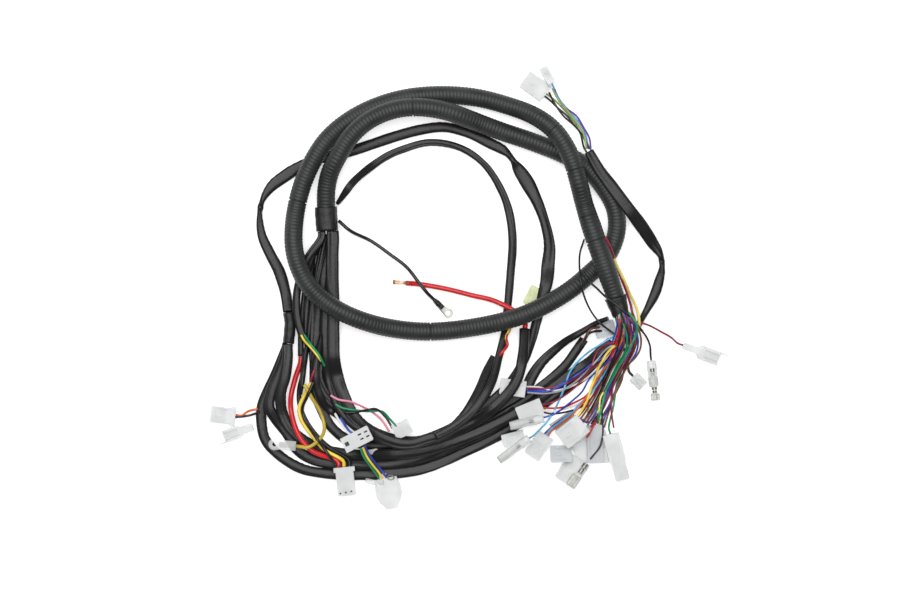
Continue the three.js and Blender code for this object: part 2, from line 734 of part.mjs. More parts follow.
// The sleeve to the instruments lies over the conduit on the right
const instrumentSleeve = addCord('instrument_sleeve', [
  [100.5, 115], [109.5, 99], [120, 85], [129, 73], [144, 53.5], [154.5, 38.5], [161, 28.5],
  [162.5, 18.5], [160, 6.5], [156.5, -4], [151, -15], [145.5, -25], [141.5, -33],
], WIDE_SLEEVE, 'sleeve', { endHeight: 8 });

// Housings at the top and their wires
const topHousing = addBlock('instrument_housing', [56, 170], 144,
  multiHousing({ length: 22, width: 16, height: 9, columns: 3, rows: 2 }), 'nylon');
const topSmallHousing = addBlock('indicator_housing', [66, 178.5], 118,
  multiHousing({ length: 15.5, width: 7, height: 9, columns: 1, rows: 2 }), 'nylon');
addWire('instrument_wire_black', port(topHousing, 2), [[73.5, 153.5], [83.5, 144.5], [93, 132]],
  mouth(instrumentSleeve, 118, { left: 2, first: true }), WIRE_DIAMETER, 'black');
addWire('indicator_wire_blue', port(topSmallHousing), [[77, 158], [88, 146], [97, 132.5]],
  mouth(instrumentSleeve, 118, { left: -2, first: true }), WIRE_DIAMETER, 'skyBlue');

// Left side
addBlock('tail_housing', [-195.5, -120.5], 200,
  singleHousing({ length: 32, width: 10.5, height: 6.3, neckLength: 10, neckWidth: 6.8 }), 'nylon');
addWire('two_way_wire_orange', port(leftHousing, -1.7), [[-185, -102.5], [-176.5, -100.5]], null,
  WIRE_DIAMETER, 'orange');

// The leads of the three way housing
addWire('supply_wire', mouth(supplySleeve, -93), [[-145.5, -75.5], [-149, -92.5], [-147, -109],
  [-140.5, -125], [-130, -136]], port(threeWay, -4.6), SUPPLY_WIRE_DIAMETER, 'red', { step: 11 });
addWire('charge_wire', null, [[-128, -72], [-137.5, -89], [-142, -100], [-140, -110], [-131.5, -122.5],
  [-122, -133.5]], port(threeWay, 0), CHARGE_WIRE_DIAMETER, 'yellow', { step: 9 });

const lug = addBlock('clear_lug', [-156, -130.5], 175,
  ringTongue({ length: 23, width: 10, height: 4, hole: 3.4, barrelWidth: 8 }), 'clear');
addWire('lug_wire', port(lug), [[-135, -132.5], [-127.5, -128.5], [-121.5, -121], [-121, -113.5],
  [-124.5, -102.5], [-130.5, -92], [-137.5, -80]], null, CHARGE_WIRE_DIAMETER, 'yellow');

addBlock('four_way_housing', [-93, -125], 27,
  multiHousing({ length: 25, width: 13, height: 10, columns: 2, rows: 2 }), 'nylon');
addBlock('tapered_housing', [-67, -169], -78, join([
  mirroredPlate([[-13, 9], [-4, 11], [2, 11], [13, 4.8]], 9),
  boxAt(5, 6, 5, -14.5, -2, 4.5),
]), 'nylon');

// The earth lead with its ring
const ring = addBlock('ring_terminal', [-21.5, -16], -44,
  ringTongue({ length: 20, width: 8.4, height: 1.2, hole: 4.3, barrelWidth: 5 }), 'tin');
addWire('earth_lead', null, [[-108.5, 57], [-98.5, 48.5], [-82, 40.5], [-65, 28.5], [-52, 18.5],
  [-40.5, 4], [-34, -4]], { ...port(ring), height: ring.base + EARTH_WIRE_DIAMETER / 2 },
  EARTH_WIRE_DIAMETER, 'black', { startHeight: TAPE_B_HEIGHT, startHeading: -38, step: 9 });

// The right hand cluster of housings, from the floor up
addBlock('cluster_housing_bottom', [87, -152.5], 236,
  multiHousing({ length: 24, width: 20, height: 7, columns: 4, rows: 1 }), 'nylon');
addBlock('cluster_housing_side', [106, -130], 272,
  multiHousing({ length: 32, width: 13, height: 7.5, columns: 3, rows: 1 }), 'greyNylon');
addBlock('cluster_housing_left', [37.5, -125.5], 194,
  multiHousing({ length: 19, width: 11, height: 7.5, columns: 3, rows: 1 }), 'nylon');
addBlock('cluster_housing_upper', [51, -101], 202,
  multiHousing({ length: 22, width: 12.5, height: 8, columns: 3, rows: 1 }), 'nylon');
addBlock('cluster_housing_corner', [59, -131.5], 236,
  multiHousing({ length: 22, width: 14.5, height: 9, columns: 2, rows: 2 }), 'nylon');
addBlock('cluster_housing_low', [77.5, -138], 182,
  multiHousing({ length: 18, width: 14, height: 6, columns: 3, rows: 1 }), 'greyNylon');
const bigHousing = addBlock('cluster_housing_big', [86.5, -119], 219,
  multiHousing({ length: 23.5, width: 18, height: 10, columns: 3, rows: 2 }), 'nylon');
const longHousing = addBlock('cluster_housing_long', [124, -140.5], 285,
  multiHousing({ length: 40, width: 12, height: 9, columns: 3, rows: 1, collar: 1, collarLength: 24 }),
    'nylon');

addBlock('spade_sleeve_upper', [48.5, -111], 193,
  clearSleeve({ length: 29, width: 7.6, height: 4.5 }), 'clear');
const spadeLower = addBlock('spade_sleeve_lower', [38, -134], 216,
  clearSleeve({ length: 32, width: 7.4, height: 4.5 }), 'clear');
addBlock('bare_terminal', [92, -155.5], 234,
  bladeTerminal({ length: 23, width: 7.6, height: 3 }), 'tin');

// Right side
const rightHousing = addBlock('horn_housing', [198, -54], -21,
  singleHousing({ length: 38, width: 12, height: 6.3, neckLength: 12, neckWidth: 5.6 }), 'nylon');
const spadeRight = addBlock('spade_sleeve_right', [154.5, -71], -84,
  clearSleeve({ length: 22, width: 8.6, height: 5 }), 'clear');
addBlock('box_terminal', ahead([154.5, -71], -84, 11 + TOUCH_GAP + 5.5), -84,
  bladeTerminal({ length: 11, width: 7.6, height: 3.4, barrel: 1.6 }), 'tin');
const roundCap = addBlock('clear_cap', [142.5, -77.5], -45,
  clearSleeve({ length: 12, width: 10.5, height: 6, wall: 1 }), 'clear');

// Wires of the root. They leave the tape side by side, in rows one above the other.
const ROOT_PITCH = 2.5;

function fromTapeA(column, layer) {
  const left = column * ROOT_PITCH;
  return {
    end: ahead(tapeAEnd, END_A_HEADING, TOUCH_GAP, left),
    lead: ahead(tapeAEnd, END_A_HEADING, LEAD_IN, left),
    height: ROOT_HEIGHT + layer * ROOT_PITCH,
    heading: END_A_HEADING,
    block: tapeA,
  };
}

addWire('cap_wire_black', fromTapeA(1, -2), [[130, -47], [133.5, -62]], port(roundCap), WIRE_DIAMETER,
  'black');
addWire('spade_wire_black', fromTapeA(2, -2), [[140.5, -31], [147.5, -38], [152, -47]],
  port(spadeRight), WIRE_DIAMETER, 'black');
addWire('horn_wire', fromTapeA(2, -1), [[140.5, -27.5], [150, -30], [161, -35.5], [170, -40.5]],
  port(rightHousing), WIRE_DIAMETER, 'red');
addWire('fan_wire_blue', fromTapeA(-1, -2), [[127, -43], [113, -56.5], [95.5, -68.5], [77, -80],
  [64.5, -84.5]], port(crossedHousing), WIRE_DIAMETER, 'blue');
addWire('fan_wire_sky', fromTapeA(-2, -1), [[125, -36], [114, -44], [98.5, -54.5], [85.5, -68.5],
  [80, -83], [74, -96.5], [66, -109.5], [56.5, -120]], port(spadeLower), WIRE_DIAMETER, 'skyBlue');
addWire('fan_wire_yellow', fromTapeA(-1, 0), [[127.5, -38.5], [119.5, -50], [110, -64.5], [104, -80.5],
  [100, -92.5]], port(bigHousing), WIRE_DIAMETER, 'yellow');
addWire('fan_wire_green', fromTapeA(1, -1), [[132.5, -43], [130.5, -61.5], [124.5, -80.5],
  [122, -97.5]], port(longHousing), WIRE_DIAMETER, 'green');

export default harness;
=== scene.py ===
"""The looks of a vehicle wiring harness, laid flat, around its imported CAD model. Lengths are metres."""

import math

import bmesh
import bpy
import numpy as np
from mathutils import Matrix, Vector
from mathutils.bvhtree import BVHTree
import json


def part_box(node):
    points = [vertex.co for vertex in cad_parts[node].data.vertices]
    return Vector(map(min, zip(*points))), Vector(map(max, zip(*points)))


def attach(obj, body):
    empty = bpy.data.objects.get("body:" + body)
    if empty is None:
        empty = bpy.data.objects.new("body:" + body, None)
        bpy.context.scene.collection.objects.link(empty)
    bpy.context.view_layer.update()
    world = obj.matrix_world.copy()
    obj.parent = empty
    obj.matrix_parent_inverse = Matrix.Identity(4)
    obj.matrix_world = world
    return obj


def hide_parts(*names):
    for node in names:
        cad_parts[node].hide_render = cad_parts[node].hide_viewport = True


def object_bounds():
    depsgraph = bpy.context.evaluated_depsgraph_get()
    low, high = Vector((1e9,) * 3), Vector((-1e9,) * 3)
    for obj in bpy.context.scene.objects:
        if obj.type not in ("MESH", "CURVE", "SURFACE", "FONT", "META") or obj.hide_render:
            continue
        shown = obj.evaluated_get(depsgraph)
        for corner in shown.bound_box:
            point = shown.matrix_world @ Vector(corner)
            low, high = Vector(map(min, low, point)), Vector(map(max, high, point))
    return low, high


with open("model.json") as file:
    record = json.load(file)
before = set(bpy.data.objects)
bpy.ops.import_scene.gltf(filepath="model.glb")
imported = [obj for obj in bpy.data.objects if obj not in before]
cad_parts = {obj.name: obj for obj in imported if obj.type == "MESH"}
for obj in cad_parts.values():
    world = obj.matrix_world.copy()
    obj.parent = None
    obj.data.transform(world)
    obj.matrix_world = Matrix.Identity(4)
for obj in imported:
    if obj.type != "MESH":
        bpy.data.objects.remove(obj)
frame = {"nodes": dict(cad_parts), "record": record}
cad_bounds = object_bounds()
MM = 0.001

# Cord sizes: the width and the thickness of each kind of covering or wire
CONDUIT = (15.5 * MM, 15.5 * MM)
WIDE = (9 * MM, 4.2 * MM)
MID = (7.6 * MM, 4.4 * MM)
SLIM = (6.6 * MM, 4.2 * MM)
ROUND = (5.2 * MM, 5.2 * MM)
LEAD = (4 * MM, 4 * MM)
TAPE = (18.5 * MM, 15.5 * MM)
JOINT_TAPE = (9.5 * MM, 13.5 * MM)
SUPPLY = (4.4 * MM, 4.4 * MM)
THICK = (3 * MM, 3 * MM)
THIN = (2 * MM, 2 * MM)
FAN_WIRE = (1.7 * MM, 1.7 * MM)
# How much wider than their solids the sleeves of the bunch lie
SPREAD = 1.2

# A rib of the conduit: the steps along it as shares of its pitch, and each step's share of the depth
RIB_PITCH = 2.9 * MM
RIB_DEPTH = 0.32 * MM
RIB_STEPS = (0.0, 0.08, 0.25, 0.45, 0.65, 0.78, 0.87)
STEP_DEPTHS = (0.45, 0.1, -0.05, -0.1, 0.0, 0.3, 1.0)
RIB_UNEVENNESS = 0.35
SEAM_DEPTH = 1.1 * MM
SEAM_REACH = 0.16
OVALITY = 0.02

# Tape: the length and the thickness of a turn, its puckers round the tube and the taper at end A
TAPE_PITCH = 8 * MM
TAPE_LIFT = 0.35 * MM
PUCKERS = 9
PUCKER_HEIGHT = 0.25 * MM
TAPE_A_TAPER = 0.74

# Sleeves: where one turns over, how far it sways, and how its skin swells, folds and sinks in
TWIST_LENGTH = 14 * MM
TWIST_STEEPNESS = 6
TWIST_NARROWING = 0.4
SWAY = 0.3
BROAD_SWELL, BROAD_SWELL_SPACING = 0.07, 0.024
FINE_SWELL, FINE_SWELL_SPACING = 0.04, 0.007
MOST_SWELL = 1.08
LUMP, LUMP_SPACING, MOST_LUMP = 0.05, 0.013, 1.03
FOLD_START, DEEPEST_FOLD, FOLD_SPACING = 0.03, 0.12, 0.0052
FOLD_SHARE = 0.55
GROOVES = (0.32, 0.62)
GROOVE_DEPTH, GROOVE_WIDTH = 0.3, 0.24
FLOOR_GAP = 0.05 * MM

# The sides and the squareness of each tube's ring
CONDUIT_SIDES = 24
SLEEVE_SIDES, SLEEVE_SQUARENESS = 28, 2.3
TAPE_SIDES, TAPE_SQUARENESS = 40, 2.4
WIRE_SIDES = 12
LOOSE_WIRE_SIDES = 10
STRAND_SIDES = 8

# Distances between the stations of a path
CONDUIT_STATIONS = 0.001
CORD_STATIONS = 0.0018
LOOSE_WIRE_STATIONS = 1.2 * MM
LOOSE_SLEEVE_STATIONS = 1.8 * MM
CURVE_STEPS = 40
HEIGHT_BLUR = 0.003
RAY_START = 0.1
RAY_STEP = 1e-5
MOST_HITS = 12

# The view and the studio: each light's name, place, size in metres and power in watts
SENSOR_WIDTH = 36
CLIP_END = 20
CAMERA_DISTANCE = 3.0
VIEW_WIDTH = 0.756
VIEW_CENTRE = (-0.0155, -0.0092)
LIGHTS = (
    ("overhead_light", (0, 0.5, 3.4), 2.6, 105),
    ("key_light", (-0.8, 1.0, 1.6), 0.5, 9),
)
WORLD_LIGHT = 0.22
FLOOR_SIZE = 8
FLOOR_HEIGHT = -0.0002
FLOOR_GREY = 0.93
FLOOR_ROUGHNESS = 0.9
FLOOR_GLOW = 0.45


# Camera, light and floor
def make_camera():
    data = bpy.data.cameras.new("camera")
    data.sensor_width = SENSOR_WIDTH
    data.lens = SENSOR_WIDTH * CAMERA_DISTANCE / VIEW_WIDTH
    data.clip_end = CLIP_END
    camera = bpy.data.objects.new("camera", data)
    camera.location = (*VIEW_CENTRE, CAMERA_DISTANCE)
    bpy.context.collection.objects.link(camera)
    bpy.context.scene.camera = camera


def make_light(name, location, size, power):
    data = bpy.data.lights.new(name, "AREA")
    data.size = size
    data.energy = power
    light = bpy.data.objects.new(name, data)
    light.location = location
    light.rotation_euler = Vector(location).to_track_quat("Z", "Y").to_euler()
    bpy.context.collection.objects.link(light)


def make_stage():
    world = bpy.data.worlds.new("studio")
    bpy.context.scene.world = world
    world.use_nodes = True
    background = world.node_tree.nodes["Background"]
    background.inputs["Color"].default_value = (1, 1, 1, 1)
    background.inputs["Strength"].default_value = WORLD_LIGHT
    for light in LIGHTS:
        make_light(*light)
    bpy.ops.mesh.primitive_plane_add(size=FLOOR_SIZE, location=(0, 0, FLOOR_HEIGHT))
    floor = bpy.context.object
    floor.name = "floor"
    material = bpy.data.materials.new("pale_floor")
    material.use_nodes = True
    shader = material.node_tree.nodes["Principled BSDF"]
    shader.inputs["Base Color"].default_value = (FLOOR_GREY, FLOOR_GREY, FLOOR_GREY, 1)
    shader.inputs["Roughness"].default_value = FLOOR_ROUGHNESS
    shader.inputs["Emission Color"].default_value = (1, 1, 1, 1)
    shader.inputs["Emission Strength"].default_value = FLOOR_GLOW
    floor.data.materials.append(material)
    bpy.context.scene.view_settings.view_transform = "Standard"


# Materials
def new_material(name, colour, roughness, **sockets):
    """A material with constants on its shader's sockets, whose names have _ for each space."""
    material = bpy.data.materials.new(name)
    material.use_nodes = True
    shader = material.node_tree.nodes["Principled BSDF"]
    shader.inputs["Base Color"].default_value = (*colour, 1)
    shader.inputs["Roughness"].default_value = roughness
    for socket, value in sockets.items():
        shader.inputs[socket.replace("_", " ")].default_value = value
    return material


def add_noise(material, scale, **settings):
    """A noise texture in the piece's own space, with scale bumps in a metre."""
    nodes = material.node_tree.nodes
    links = material.node_tree.links
    place = nodes.new("ShaderNodeTexCoord")
    texture = nodes.new("ShaderNodeTexNoise")
    texture.inputs["Scale"].default_value = scale
    for socket, value in settings.items():
        texture.inputs[socket].default_value = value
    links.new(place.outputs["Object"], texture.inputs["Vector"])
    return texture


def vary_colour(material, texture, dark, light):
    """The base colour drifts between dark and light with the texture."""
    nodes = material.node_tree.nodes
    links = material.node_tree.links
    ramp = nodes.new("ShaderNodeValToRGB")
    ramp.color_ramp.elements[0].position = 0.3
    ramp.color_ramp.elements[1].position = 0.7
    ramp.color_ramp.elements[0].color = (*dark, 1)
    ramp.color_ramp.elements[1].color = (*light, 1)
    links.new(texture.outputs[0], ramp.inputs["Fac"])
    links.new(ramp.outputs["Color"], nodes["Principled BSDF"].inputs["Base Color"])


def vary_roughness(material, texture, low, high):
    nodes = material.node_tree.nodes
    links = material.node_tree.links
    remap = nodes.new("ShaderNodeMapRange")
    remap.inputs["To Min"].default_value = low
    remap.inputs["To Max"].default_value = high
    links.new(texture.outputs[0], remap.inputs["Value"])
    links.new(remap.outputs["Result"], nodes["Principled BSDF"].inputs["Roughness"])


def add_bump(material, texture, height, strength=1.0):
    nodes = material.node_tree.nodes
    links = material.node_tree.links
    bump = nodes.new("ShaderNodeBump")
    bump.inputs["Distance"].default_value = height
    bump.inputs["Strength"].default_value = strength
    links.new(texture.outputs[0], bump.inputs["Height"])
    links.new(bump.outputs["Normal"], nodes["Principled BSDF"].inputs["Normal"])


def conduit_material():
    material = new_material("conduit_plastic", (0.02, 0.022, 0.021), 0.5, Specular_IOR_Level=0.42)
    blotches = add_noise(material, 60, Detail=3.0)
    vary_colour(material, blotches, (0.015, 0.0165, 0.016), (0.029, 0.032, 0.03))
    vary_roughness(material, blotches, 0.42, 0.58)
    grain = add_noise(material, 1500, Detail=2.0)
    add_bump(material, grain, 0.00006)
    return material


def black_pvc(name, dark, light, roughness, crease):
    """Soft black PVC between two roughnesses, with creases of the given height."""
    material = new_material(name, dark, roughness[0], Specular_IOR_Level=0.3)
    blotches = add_noise(material, 45, Detail=4.0)
    vary_colour(material, blotches, dark, light)
    vary_roughness(material, blotches, *roughness)
    creases = add_noise(material, 260, Detail=3.0, Distortion=1.5)
    add_bump(material, creases, crease, 0.6)
    return material


def wire_material(name, dark, light, roughness=0.3):
    material = new_material(name, light, roughness)
    blotches = add_noise(material, 120, Detail=2.0)
    vary_colour(material, blotches, dark, light)
    vary_roughness(material, blotches, roughness - 0.06, roughness + 0.1)
    grain = add_noise(material, 900, Detail=2.0)
    add_bump(material, grain, 0.00003)
    return material


def nylon_material(name, dark, light, transmission=0.35):
    material = new_material(
        name, light, 0.38,
        Subsurface_Weight=0.35,
        Subsurface_Radius=(0.002, 0.002, 0.002),
        Subsurface_Scale=1.0,
        Transmission_Weight=transmission,
        IOR=1.4,
    )
    cloud = add_noise(material, 90, Detail=3.0)
    vary_colour(material, cloud, dark, light)
    vary_roughness(material, cloud, 0.32, 0.46)
    grain = add_noise(material, 700, Detail=2.0)
    add_bump(material, grain, 0.00004)
    return material


def clear_material():
    material = new_material("clear_pvc_skin", (0.78, 0.8, 0.79), 0.22, Alpha=0.38)
    smear = add_noise(material, 150, Detail=3.0)
    vary_roughness(material, smear, 0.14, 0.3)
    add_bump(material, smear, 0.00015)
    return material


def metal_material(name, dark, light, roughness):
    material = new_material(name, light, roughness, Metallic=1.0)
    smear = add_noise(material, 300, Detail=4.0)
    vary_colour(material, smear, dark, light)
    vary_roughness(material, smear, roughness - 0.08, roughness + 0.12)
    add_bump(material, smear, 0.00005)
    return material


# The dark and the light of each wire's insulation
WIRE_COLOURS = {
    "black": ((0.007, 0.007, 0.008), (0.013, 0.013, 0.014)),
    "red": ((0.5, 0.008, 0.012), (0.65, 0.015, 0.02)),
    "dark_red": ((0.2, 0.01, 0.03), (0.3, 0.02, 0.05)),
    "orange": ((0.65, 0.1, 0.02), (0.8, 0.17, 0.04)),
    "yellow": ((0.8, 0.57, 0.04), (0.92, 0.7, 0.08)),
    "mustard": ((0.45, 0.32, 0.03), (0.6, 0.45, 0.06)),
    "sky": ((0.08, 0.36, 0.62), (0.14, 0.5, 0.8)),
    "blue": ((0.02, 0.04, 0.3), (0.04, 0.08, 0.5)),
    "green": ((0.005, 0.18, 0.07), (0.01, 0.3, 0.12)),
    "olive": ((0.24, 0.3, 0.09), (0.34, 0.42, 0.14)),
    "pink": ((0.7, 0.2, 0.3), (0.85, 0.32, 0.42)),
    "purple": ((0.1, 0.02, 0.2), (0.17, 0.05, 0.32)),
    "brown": ((0.12, 0.035, 0.02), (0.2, 0.07, 0.04)),
    "white": ((0.75, 0.75, 0.73), (0.86, 0.86, 0.85)),
    "grey": ((0.3, 0.3, 0.32), (0.42, 0.42, 0.44)),
    "cream": ((0.84, 0.68, 0.13), (0.94, 0.8, 0.24)),
}
MATERIALS = {
    "conduit": conduit_material(),
    "sleeve": black_pvc(
        "sleeve_pvc", (0.007, 0.007, 0.0075), (0.012, 0.012, 0.0125), (0.28, 0.44), 0.0003,
    ),
    "tape": black_pvc(
        "tape_pvc", (0.009, 0.009, 0.0095), (0.016, 0.016, 0.0165), (0.36, 0.52), 0.0004,
    ),
    "nylon": nylon_material("nylon_milky", (0.78, 0.79, 0.79), (0.9, 0.91, 0.91)),
    "grey_nylon": nylon_material("nylon_grey", (0.52, 0.55, 0.57), (0.66, 0.68, 0.7), 0.2),
    "pale_yellow_nylon": nylon_material("nylon_pale_yellow", (0.7, 0.76, 0.42), (0.8, 0.85, 0.55), 0.2),
    "clear_pvc": clear_material(),
    "tinned_brass": metal_material("tin", (0.17, 0.17, 0.16), (0.34, 0.34, 0.32), 0.4),
    "copper": metal_material("copper", (0.62, 0.4, 0.24), (0.88, 0.68, 0.5), 0.4),
}
for colour, (dark, light) in WIRE_COLOURS.items():
    MATERIALS["wire_" + colour] = wire_material("wire_" + colour, dark, light)


def finish_piece(piece, kind, *nodes):
    """Gives a piece its material and slot, and lets it replace the solids that it stands for."""
    piece.data.materials.append(MATERIALS[kind])
    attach(piece, "root")
    if nodes:
        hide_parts(*nodes)


# Routes
def plan_curve(points, spacing):
    """Equally spaced points on the centripetal Catmull-Rom curve through points, in plan."""
    p = np.array(points, float)
    p = np.vstack([2 * p[0] - p[1], p, 2 * p[-1] - p[-2]])
    fine = []
    for a, b, c, d in zip(p[:-3], p[1:-2], p[2:-1], p[3:]):
        dt0, dt1, dt2 = (math.sqrt(np.linalg.norm(v)) for v in (b - a, c - b, d - c))
        tangent_b = ((b - a) / dt0 - (c - a) / (dt0 + dt1) + (c - b) / dt1) * dt1
        tangent_c = ((c - b) / dt1 - (d - b) / (dt1 + dt2) + (d - c) / dt2) * dt1
        t = np.linspace(0, 1, CURVE_STEPS, endpoint=False)[:, None]
        fine.append(
            (2 * t**3 - 3 * t**2 + 1) * b
            + (t**3 - 2 * t**2 + t) * tangent_b
            + (3 * t**2 - 2 * t**3) * c
            + (t**3 - t**2) * tangent_c
        )
    fine = np.vstack([*fine, p[-2]])
    along = along_path(fine)
    steps = max(4, round(along[-1] / spacing))
    stations = np.linspace(0, along[-1], steps + 1)
    return np.column_stack([np.interp(stations, along, fine[:, k]) for k in (0, 1)])


def node_tree(node):
    """The CAD node's surface, for rays."""
    mesh = frame["nodes"][node].data
    points = [vertex.co[:] for vertex in mesh.vertices]
    return BVHTree.FromPolygons(points, [face.vertices[:] for face in mesh.polygons])


def spans_at(tree, x, y):
    """The (low, high) stretches of solid on the vertical line through x, y."""
    hits = []
    z = RAY_START
    while len(hits) < MOST_HITS:
        hit, _, _, _ = tree.ray_cast(Vector((x, y, z)), Vector((0, 0, -1)))
        if hit is None:
            break
        hits.append(hit.z)
        z = hit.z - RAY_STEP
    return list(zip(hits[1::2], hits[0::2]))


def smoothed(values, sigma):
    """values after a Gaussian blur of sigma samples, with both ends held."""
    if sigma < 0.3:
        return values
    reach = int(3 * sigma) + 1
    kernel = np.exp(-0.5 * (np.arange(-reach, reach + 1) / sigma) ** 2)
    kernel /= kernel.sum()
    before, after = np.full(reach, values[0]), np.full(reach, values[-1])
    if len(values) > reach:
        before = 2 * values[0] - values[reach:0:-1]
        after = 2 * values[-1] - values[-2:-reach - 2:-1]
    return np.convolve(np.concatenate([before, values, after]), kernel, mode="valid")


def route_in_node(node, points, spacing):
    """The centreline of a CAD cord: its plan route, at the height of the node's solid."""
    plan = plan_curve(points, spacing)
    tree = node_tree(node)
    heights = np.full(len(plan), np.nan)
    last = None
    for k, (x, y) in enumerate(plan):
        middles = [(low + high) / 2 for low, high in spans_at(tree, x, y)]
        if not middles:
            continue
        if last is None:
            last = middles[0]
        heights[k] = last = min(middles, key=lambda z: abs(z - last))
    known = np.flatnonzero(~np.isnan(heights))
    heights = np.interp(np.arange(len(plan)), known, heights[known])
    heights = smoothed(heights, HEIGHT_BLUR / spacing)
    return np.column_stack([plan, heights])


def along_path(path):
    """How far along the path each of its points lies."""
    return np.concatenate([[0], np.cumsum(np.linalg.norm(np.diff(path, axis=0), axis=1))])


# Tubes
def tube_mesh(name, path, side_offsets, up_offsets):
    """A closed tube: at each point of path, a ring of the given offsets to the side and upwards."""
    tangents = np.gradient(path, axis=0)
    tangents /= np.linalg.norm(tangents, axis=1)[:, None]
    sides = np.cross(tangents, (0, 0, 1))
    sides /= np.linalg.norm(sides, axis=1)[:, None]
    ups = np.cross(sides, tangents)
    rings = (
        path[:, None, :]
        + sides[:, None, :] * side_offsets[:, :, None]
        + ups[:, None, :] * up_offsets[:, :, None]
    )
    rows, count = side_offsets.shape
    vertices = rings.reshape(-1, 3)
    near = np.arange(rows * count).reshape(rows, count)[:-1]
    turned = np.roll(near, -1, axis=1)
    quads = np.stack([near, near + count, turned + count, turned], axis=-1).reshape(-1, 4)
    faces = quads.tolist()
    faces.append(list(range(count)))
    faces.append(list(range(rows * count - 1, (rows - 1) * count - 1, -1)))
    mesh = bpy.data.meshes.new(name)
    mesh.from_pydata(vertices.tolist(), [], faces)
    mesh.shade_smooth()
    for face in mesh.polygons[-2:]:
        face.use_smooth = False
    piece = bpy.data.objects.new(name, mesh)
    bpy.context.collection.objects.link(piece)
    return piece


def wander(length_along, scale, seed):
    """Smooth noise from -1 to 1 along a length, with bumps about scale apart."""
    source = np.random.default_rng(seed)
    knots = np.arange(0, length_along[-1] + 2 * scale, scale)
    values = source.uniform(-1, 1, len(knots))
    fine = np.interp(length_along, knots, values)
    return smoothed(fine, 0.4 * scale / max(1e-9, length_along[1] - length_along[0]))


def seed_of(name):
    """A number of the piece's own, from its name, so that each piece is uneven in its own way."""
    return sum(ord(letter) * (k + 3) for k, letter in enumerate(name))


def oval_ring(count, exponent):
    """The angles, sides and ups of a unit ring between a circle (exponent 2) and a square."""
    angle = 2 * np.pi * np.arange(count) / count
    side = np.sign(np.cos(angle)) * np.abs(np.cos(angle)) ** (2 / exponent)
    up = np.sign(np.sin(angle)) * np.abs(np.sin(angle)) ** (2 / exponent)
    return angle, side, up


def round_tube(name, path, side_radius, up_radius, sides):
    """A tube of oval rings with a radius to the side and one upwards at each point."""
    angle = 2 * np.pi * np.arange(sides) / sides
    side, up = np.outer(side_radius, np.cos(angle)), np.outer(up_radius, np.sin(angle))
    return tube_mesh(name, path, side, up)


def nearest_along(path, point):
    """How far along the path, in plan, its nearest place to point lies."""
    return along_path(path)[np.argmin(np.hypot(path[:, 0] - point[0], path[:, 1] - point[1]))]


def ribbed_tube(name, path):
    """Split corrugated conduit: broad ribs, narrow valleys, and a few deeper seams."""
    along = along_path(path)
    ribs = round(along[-1] / RIB_PITCH)
    stations = ((np.arange(ribs)[:, None] + np.array(RIB_STEPS)) * along[-1] / ribs).ravel()
    depth = RIB_DEPTH * np.tile(np.array(STEP_DEPTHS), ribs)
    depth = depth * (1 + RIB_UNEVENNESS * wander(stations, 0.02, seed_of(name) + 9))
    for point in SEAMS:
        rib_start = np.floor(nearest_along(path, point) / along[-1] * ribs) * along[-1] / ribs
        near = np.abs(stations - rib_start - RIB_STEPS[-1] * RIB_PITCH) < SEAM_REACH * RIB_PITCH
        depth[near] = SEAM_DEPTH
    fine = np.column_stack([np.interp(stations, along, path[:, k]) for k in range(3)])
    widths = sorted((nearest_along(path, point), factor) for point, factor in WIDTHS["main_conduit"])
    radius = CONDUIT[0] / 2 * np.interp(stations, *zip(*widths)) - depth
    ovality = 1 + OVALITY * wander(stations, 0.03, seed_of(name))
    return round_tube(name, fine, radius * ovality, radius / ovality, CONDUIT_SIDES)


def bend_of(path):
    """Signed curvature in plan, positive where the path turns left, smoothed."""
    heading = np.unwrap(np.arctan2(np.gradient(path[:, 1]), np.gradient(path[:, 0])))
    along = along_path(path)
    return smoothed(np.gradient(heading) / np.gradient(along), 3)


def width_profile(name, path):
    """(width factor, roll) at each point: where a sleeve spreads, narrows or turns over."""
    along = along_path(path)
    marks = sorted((nearest_along(path, point), factor) for point, factor in WIDTHS.get(name, ()))
    factor = np.ones(len(along))
    if marks:
        factor = smoothed(np.interp(along, *zip(*marks)), 3)
    roll = np.zeros(len(along))
    for point in TWISTS.get(name, ()):
        gone = (along - nearest_along(path, point)) / TWIST_LENGTH
        roll = roll + math.pi / (1 + np.exp(-TWIST_STEEPNESS * gone))
        factor = factor * (1 - TWIST_NARROWING * np.exp(-(2 * gone) ** 2))
    return factor, roll


